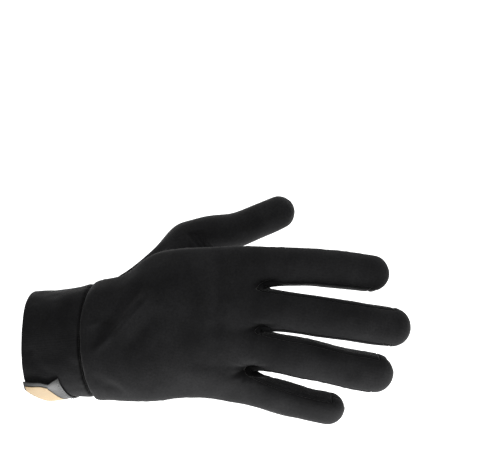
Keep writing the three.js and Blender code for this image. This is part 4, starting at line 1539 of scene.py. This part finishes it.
@dataclass
class Cuff:
    """The doubled cuff: a band folded at its free edge and sewn to the hand at its other end."""

    fold_radius: float = 1.1
    end_radius: float = 2.0
    seam_gap: float = 0.1
    tuck: float = 1.7
    flap: tuple[tuple[float, float], ...] = ((0.05, 1.2), (2.6, 1.5), (2.6, 2.4), (-1.5, 2.2))
    girth: float = 170.0
    last_step: float = 0.5
    rows: int = 46
    columns: int = 300
    end_steps: int = 8
    fold_steps: int = 11
    slack: tuple[Ripple, ...] = (Ripple(0.45, 26, 11), Ripple(0.16, 9, 12))
    gather: Ripple = Ripple(0.22, 4.4, 13)
    gather_width: float = 2.4
    slack_radii: tuple[float, float] = (34.0, 27.0)
    # painted shade where the band tucks under the hand: where it starts and where it is full, from the seam
    tuck_shade: tuple[float, float] = (-1.6, -0.6)
    dents: tuple[Fold, ...] = (
        Fold((4.0, -2.0), (9.0, -12.0), 3.2, -0.8, 3),
        Fold((28.0, 21.0), (33.0, 12.0), 2.2, -0.7, 3),
    )
    finish: BrushedJersey = field(default_factory=lambda: BrushedJersey(
        name="black_brushed_jersey_doubled", colour="#121213", pale="#212122"))

    def profile(self) -> tuple[Array, Array]:
        """Closed profile of the doubled wall: places along the arm, and insets from the outer face.

        Out along the outer face, round its end to the seam, along the flap that lies a little under the
        hand's edge, back along the inner face and round the fold.
        """
        fold, end, wall = self.fold_radius, self.end_radius, SIZES.cuff_wall
        seam = SIZES.cuff_length - self.seam_gap
        straight = np.linspace(fold, seam - end, self.rows)
        quarter = np.linspace(0, math.pi / 2, self.end_steps + 1)[1:]
        turn = np.linspace(0, math.pi, self.fold_steps + 1)[1:-1]
        flap = np.array(self.flap)
        x = np.concatenate([
            straight,
            seam - end + end * np.sin(quarter),
            seam + flap[:, 0],
            straight[::-1],
            fold - fold * np.sin(turn),
        ])
        inset = np.concatenate([
            np.zeros(self.rows),
            self.tuck * (1 - np.cos(quarter)),
            self.tuck + flap[:, 1],
            np.full(self.rows, wall),
            wall / 2 + wall / 2 * np.cos(turn),
        ])
        return x, inset

    def surface(self, x: Array, inset: Array) -> Array:
        """Carries the profile round the wrist: the section scaled by the cuff's size less the inset.

        Its slack is read on one ring of places for both faces, so that the wall keeps its thickness.

        Args:
            x: the profile's places along the arm.
            inset: its insets from the outer face.

        Returns:
            Points, (rows, columns, 3).
        """
        section = round_section(np.linspace(0, 360, self.columns + 1)[:-1])
        width, depth = SIZES.cuff_size(x)
        along = np.broadcast_to(x[:, None], (len(x), self.columns))
        y = (width / 2 - inset)[:, None] * section[None, :, 0]
        z = (depth / 2 - inset)[:, None] * section[None, :, 1]
        points = np.stack([along, y, z], -1)
        outward = points * [0, 1, 1]
        outward /= np.linalg.norm(outward, axis=2, keepdims=True)
        turn = 2 * math.pi * np.arange(self.columns) / self.columns
        ring = [radius * wave(turn) + 0 * along for radius, wave in zip(self.slack_radii, (np.cos, np.sin))]
        spots = np.stack([along, *ring], -1).reshape(-1, 3)
        slack = sum(ripple.rise(spots) for ripple in self.slack)
        near_seam = np.exp(-(((SIZES.cuff_length - spots[:, 0]) / self.gather_width) ** 2))
        slack += self.gather.rise(spots) * near_seam
        for dent in self.dents:
            slack += dent.rise(points.reshape(-1, 3), outward.reshape(-1, 3))
        return points + outward * slack.reshape(len(x), self.columns, 1)

    def flat_places(self, x: Array, inset: Array) -> Array:
        """Places of the quads' corners on the flat cloth: round the wrist, and along the profile."""
        shape = (len(x), self.columns, 4)
        step = np.concatenate([[0], np.cumsum(np.hypot(np.diff(x), np.diff(inset)))])
        after = np.append(step[1:], step[-1] + self.last_step)
        round_it = np.linspace(0, self.girth, self.columns + 1)
        u = np.stack([round_it[:-1], round_it[1:], round_it[1:], round_it[:-1]], -1)
        v = np.stack([step, step, after, after], -1)
        places = np.stack([np.broadcast_to(u[None], shape), np.broadcast_to(v[:, None], shape)], -1)
        return places.reshape(-1, 4, 2)

    def build(self) -> list[bpy.types.Object]:
        """Makes the band one closed piece, with painted shade where it is tucked under the hand's edge, more
        toward the little finger.
        """
        x, inset = self.profile()
        points = self.surface(x, inset)
        numbers = np.arange(points.size // 3).reshape(points.shape[:2])
        after, beside = np.roll(numbers, -1, axis=0), np.roll(numbers, -1, axis=1)
        quads = np.stack([numbers, beside, np.roll(after, -1, axis=1), after], -1).reshape(-1, 4)
        moved = WORN_CUFF.moved(points).reshape(-1, 3)
        piece = make_piece("cuff_cloth", moved, quads, self.flat_places(x, inset))
        # painted shade under the hand's edge
        tucked = smooth(*(SIZES.cuff_length + at for at in self.tuck_shade), points[..., 0])
        add_shade(piece, tucked * wrist_shade(points[..., 1]))
        piece.data.materials.append(self.finish.material())
        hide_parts("cuff")
        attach(piece, "root")
        log.info("%s: %d quads", piece.name, len(quads))
        return [piece]


@dataclass
class Label:
    """The label at the cuff's free edge on the little finger's side: a grey tab, and its tan field."""

    length: float = 21.5
    top: float = 124.0
    bottom: float = 196.0
    overhang: float = 0.4
    slant: float = 2.5
    stand_height: float = 1.25
    gape: float = 1.5
    gape_share: float = 0.16
    gape_power: float = 0.7
    tab_wall: float = 0.8
    field_start: float = 0.6
    field_length: float = 13.2
    field_inset: float = 2.0
    field_height: float = 0.38
    field_wall: float = 0.35
    field_at: tuple[float, float] = (0.05, 0.07)
    field_share: float = 0.85
    bevel: float = 0.12
    rows: int = 40
    columns: int = 70
    stitch_at: float = 0.93
    stitch_span: tuple[float, float] = (0.04, 0.95)
    stitch_count: int = 13
    stitch_share: float = 0.72
    stitch_steps: int = 8
    stitch_rise: float = 0.9
    stitch_sink: float = 0.4
    thread: float = 0.22
    edge: FormTable = FormTable(
        at=(0, 0.25, 0.47, 0.68, 0.84, 1), columns={"turn": (0, 1.1, 1.8, 5.0, 2.4, 0.2)})

    def wave(self, along: Array) -> Array:
        """How many degrees the tab's upper edge is moved at shares along it."""
        return self.edge.value("turn", along)

    def stand(self, along: Array, around: Array) -> Array:
        """Height of the tab over the cuff: its upper edge gapes between its tacked corners."""
        open_way = np.sin(np.pi * np.clip(along, 0, 1)) ** self.gape_power
        gape = np.exp(-((around / self.gape_share) ** 2)) * open_way
        return self.stand_height + self.gape * gape

    def field_along(self, along: Array) -> Array:
        """Shares along the tab from shares along the tan field."""
        return along * self.field_length / self.length + self.field_at[0]

    def field_wave(self, along: Array) -> Array:
        """The tab's wave where the tan field lies."""
        return self.wave(self.field_along(along))

    def field_stand(self, along: Array, around: Array) -> Array:
        """Height of the tan field over the cuff: the tab's there, and the field's own."""
        around = around * self.field_share + self.field_at[1]
        return self.stand(self.field_along(along), around) + self.field_height

    @staticmethod
    def place(x: Array, degrees: Array, high: Array) -> Array:
        """Points over the cuff: its section made larger by a height."""
        section = round_section(degrees)
        width, depth = SIZES.cuff_size(x)
        return np.stack([x, (width / 2 + high) * section[..., 0], (depth / 2 + high) * section[..., 1]], -1)

    def patch(
        self,
        ends: tuple[float, float],
        turns: tuple[float, float],
        lift: Callable[[Array, Array], Array],
        edge: Callable[[Array], Array],
        slant: float = 0.0,
    ) -> Array:
        """Grid that lies round the cuff.

        Args:
            ends: distances of its near and far ends from the free edge.
            turns: its upper and lower edges, degrees round the cuff.
            lift: height over the cuff from shares along and round.
            edge: how many degrees the upper edge is moved at shares along it.
            slant: how much farther the far end lies at the lower edge.

        Returns:
            Points, (rows, columns, 3).
        """
        along = np.linspace(0, 1, self.rows)[:, None]
        around = np.linspace(0, 1, self.columns)[None]
        x = mix(ends[0], ends[1] + slant * around, along) + 0 * around
        degrees = mix(turns[0] + edge(along), turns[1], around)
        return self.place(x, degrees, lift(along + 0 * around, around + 0 * along))

    def stitches(self) -> tuple[Array, Array]:
        """Line of stitches near the tab's far end: threads that rise from the tape and dip again.

        Returns:
            Points and quads of all the stitches.
        """
        first = np.linspace(*self.stitch_span, self.stitch_count)[:, None, None]
        t = np.linspace(0, 1, self.stitch_steps + 1)[None, :, None]
        turn = np.linspace(0, 2 * np.pi, self.stitch_steps + 1)[None, None, :-1]
        around = first + t * self.stitch_share / self.stitch_count + 0 * turn
        along = self.stitch_at + 0 * around
        swell = np.sin(np.pi * t) ** 0.5
        x = along * (self.length + self.slant * around) + self.thread * swell * np.cos(turn)
        lift = swell * np.sin(turn) + self.stitch_rise * swell - self.stitch_sink
        high = self.stand(along, around) + self.thread * lift
        points = self.place(x, mix(self.top + self.wave(along), self.bottom, around), high)
        numbers = np.arange(points[..., 0].size).reshape(points.shape[:3])
        beside = np.roll(numbers, -1, axis=2)
        quads = np.stack([numbers[:, :-1], beside[:, :-1], beside[:, 1:], numbers[:, 1:]], -1)
        return points.reshape(-1, 3), quads.reshape(-1, 4)

    def sheet(
        self, name: str, grid: Array, wall: float, material: bpy.types.Material, node: str
    ) -> bpy.types.Object:
        """Makes a grid a thin piece with its edges broken.

        Args:
            name: the piece's name.
            grid: its outer face, (rows, columns, 3).
            wall: its thickness.
            material: its material.
            node: the solid that it stands for.

        Returns:
            The piece.
        """
        quads = grid_quads(np.arange(grid[..., 0].size).reshape(grid.shape[:2])).reshape(-1, 4)
        made = make_piece(name, WORN_CUFF.moved(grid).reshape(-1, 3), quads)
        thicken(made, wall)
        bevel = made.modifiers.new("edge", "BEVEL")
        bevel.width = self.bevel * METRE
        bevel.segments = 2
        bevel.limit_method = "ANGLE"
        made.data.materials.append(material)
        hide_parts(node)
        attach(made, "root")
        log.info("%s: %d quads", name, len(quads))
        return made

    def build(self) -> list[bpy.types.Object]:
        """Tab, its stitches and its tan field."""
        sewn, quads = self.stitches()
        thread = make_piece("label_tab_stitches", WORN_CUFF.moved(sewn), quads)
        thread.data.materials.append(LabelThread().material())
        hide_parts("label_tab")
        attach(thread, "root")
        ends, turns = (-self.overhang, self.length), (self.top, self.bottom)
        grid = self.patch(ends, turns, self.stand, self.wave, self.slant)
        tape = CoatedTape().material()
        tab = self.sheet("label_tab_tape", grid, self.tab_wall, tape, "label_tab")
        inset = math.degrees(self.field_inset / (SIZES.cuff_depth / 2))
        ends = self.field_start, self.field_start + self.field_length
        turns = self.top + inset, self.bottom - inset
        grid = self.patch(ends, turns, self.field_stand, self.field_wave)
        satin = WovenSatin().material()
        tan = self.sheet("label_face_satin", grid, self.field_wall, satin, "label_face")
        return [thread, tab, tan]


@dataclass(frozen=True)
class SoftLight:
    """Square soft light: its place and side in metres, and its power in watts."""

    name: str
    place: tuple[float, float, float]
    side: float
    power: float


@dataclass
class Studio:
    """White paper floor, soft lights and the camera at the photograph's angle."""

    width: int = 481
    height: int = 455
    scale: float = 1.75
    aim: tuple[float, float, float] = (105.0, 0.0, 0.0)
    aim_pixel: tuple[float, float] = (210.5, 327.0)
    distance: float = 1000.0
    tilt: float = 13.0
    roll: float = 5.5
    sensor: float = 36.0
    floor_height: float = -1.3
    floor_reach: float = 60.0
    surround: float = 0.36
    light_aim: tuple[float, float, float] = (0.11, 0, 0)
    lights: tuple[SoftLight, ...] = (
        SoftLight("low_side_light", (0.1, -1.45, 0.08), 1.1, 44),
        SoftLight("fill_light", (0.7, 0.4, 1.2), 1.4, 7.5),
    )

    def add_camera(self) -> None:
        """Adds the camera: the aim point at its pixel, seen from its distance with the tilt and the roll."""
        tilt, roll = math.radians(self.tilt), math.radians(self.roll)
        back = Vector((math.sin(tilt), 0, math.cos(tilt)))
        side = Vector((math.cos(tilt), 0, -math.sin(tilt)))
        up = Vector((0, 1, 0))
        right = side * math.cos(roll) - up * math.sin(roll)
        above = side * math.sin(roll) + up * math.cos(roll)
        aim = Vector(self.aim) * METRE
        place = aim + back * self.distance * METRE
        off_right = (self.width / 2 - self.aim_pixel[0]) / self.scale * METRE
        off_up = (self.aim_pixel[1] - self.height / 2) / self.scale * METRE
        middle = aim + right * off_right + above * off_up
        z_axis = (place - middle).normalized()
        x_axis = above.cross(z_axis).normalized()
        y_axis = z_axis.cross(x_axis)
        data = bpy.data.cameras.new("camera")
        data.sensor_width = self.sensor
        data.lens = self.sensor * self.distance / (self.width / self.scale)
        data.clip_start, data.clip_end = 0.01, 200
        camera = bpy.data.objects.new("camera", data)
        turn = Matrix((x_axis, y_axis, z_axis)).transposed().to_4x4()
        camera.matrix_world = Matrix.Translation(place) @ turn
        bpy.context.scene.collection.objects.link(camera)
        bpy.context.scene.camera = camera

    def add_light(self, light: SoftLight) -> None:
        """Adds a light that faces the glove."""
        data = bpy.data.lights.new(light.name, "AREA")
        data.shape = "SQUARE"
        data.size = light.side
        data.energy = light.power
        lamp = bpy.data.objects.new(light.name, data)
        lamp.location = light.place
        lamp.rotation_mode = "QUATERNION"
        lamp.rotation_quaternion = (Vector(light.place) - Vector(self.light_aim)).to_track_quat("Z", "Y")
        bpy.context.scene.collection.objects.link(lamp)

    def build(self) -> None:
        """Sets the floor, the world, the lights and the camera."""
        steps = self.floor_reach * np.array([(-1, -1), (1, -1), (1, 1), (-1, 1)], float)
        corners = np.column_stack([steps, np.full(4, self.floor_height)])
        floor = make_piece("floor", corners / METRE, np.array([[0, 1, 2, 3]]))
        floor.data.materials.append(PaperGround().material())
        world = bpy.data.worlds.new("studio")
        world.use_nodes = True
        background = world.node_tree.nodes["Background"]
        background.inputs["Color"].default_value = (1, 1, 1, 1)
        background.inputs["Strength"].default_value = self.surround
        bpy.context.scene.world = world
        bpy.context.scene.view_settings.view_transform = "Standard"
        for light in self.lights:
            self.add_light(light)
        self.add_camera()


def main() -> None:
    """Builds the studio and the glove."""
    Studio().build()
    for part in (JerseyPanels(), Cuff(), Label()):
        made = part.build()
        log.info("%s: %d pieces", type(part).__name__, len(made))


if __name__ == "__main__":
    main()
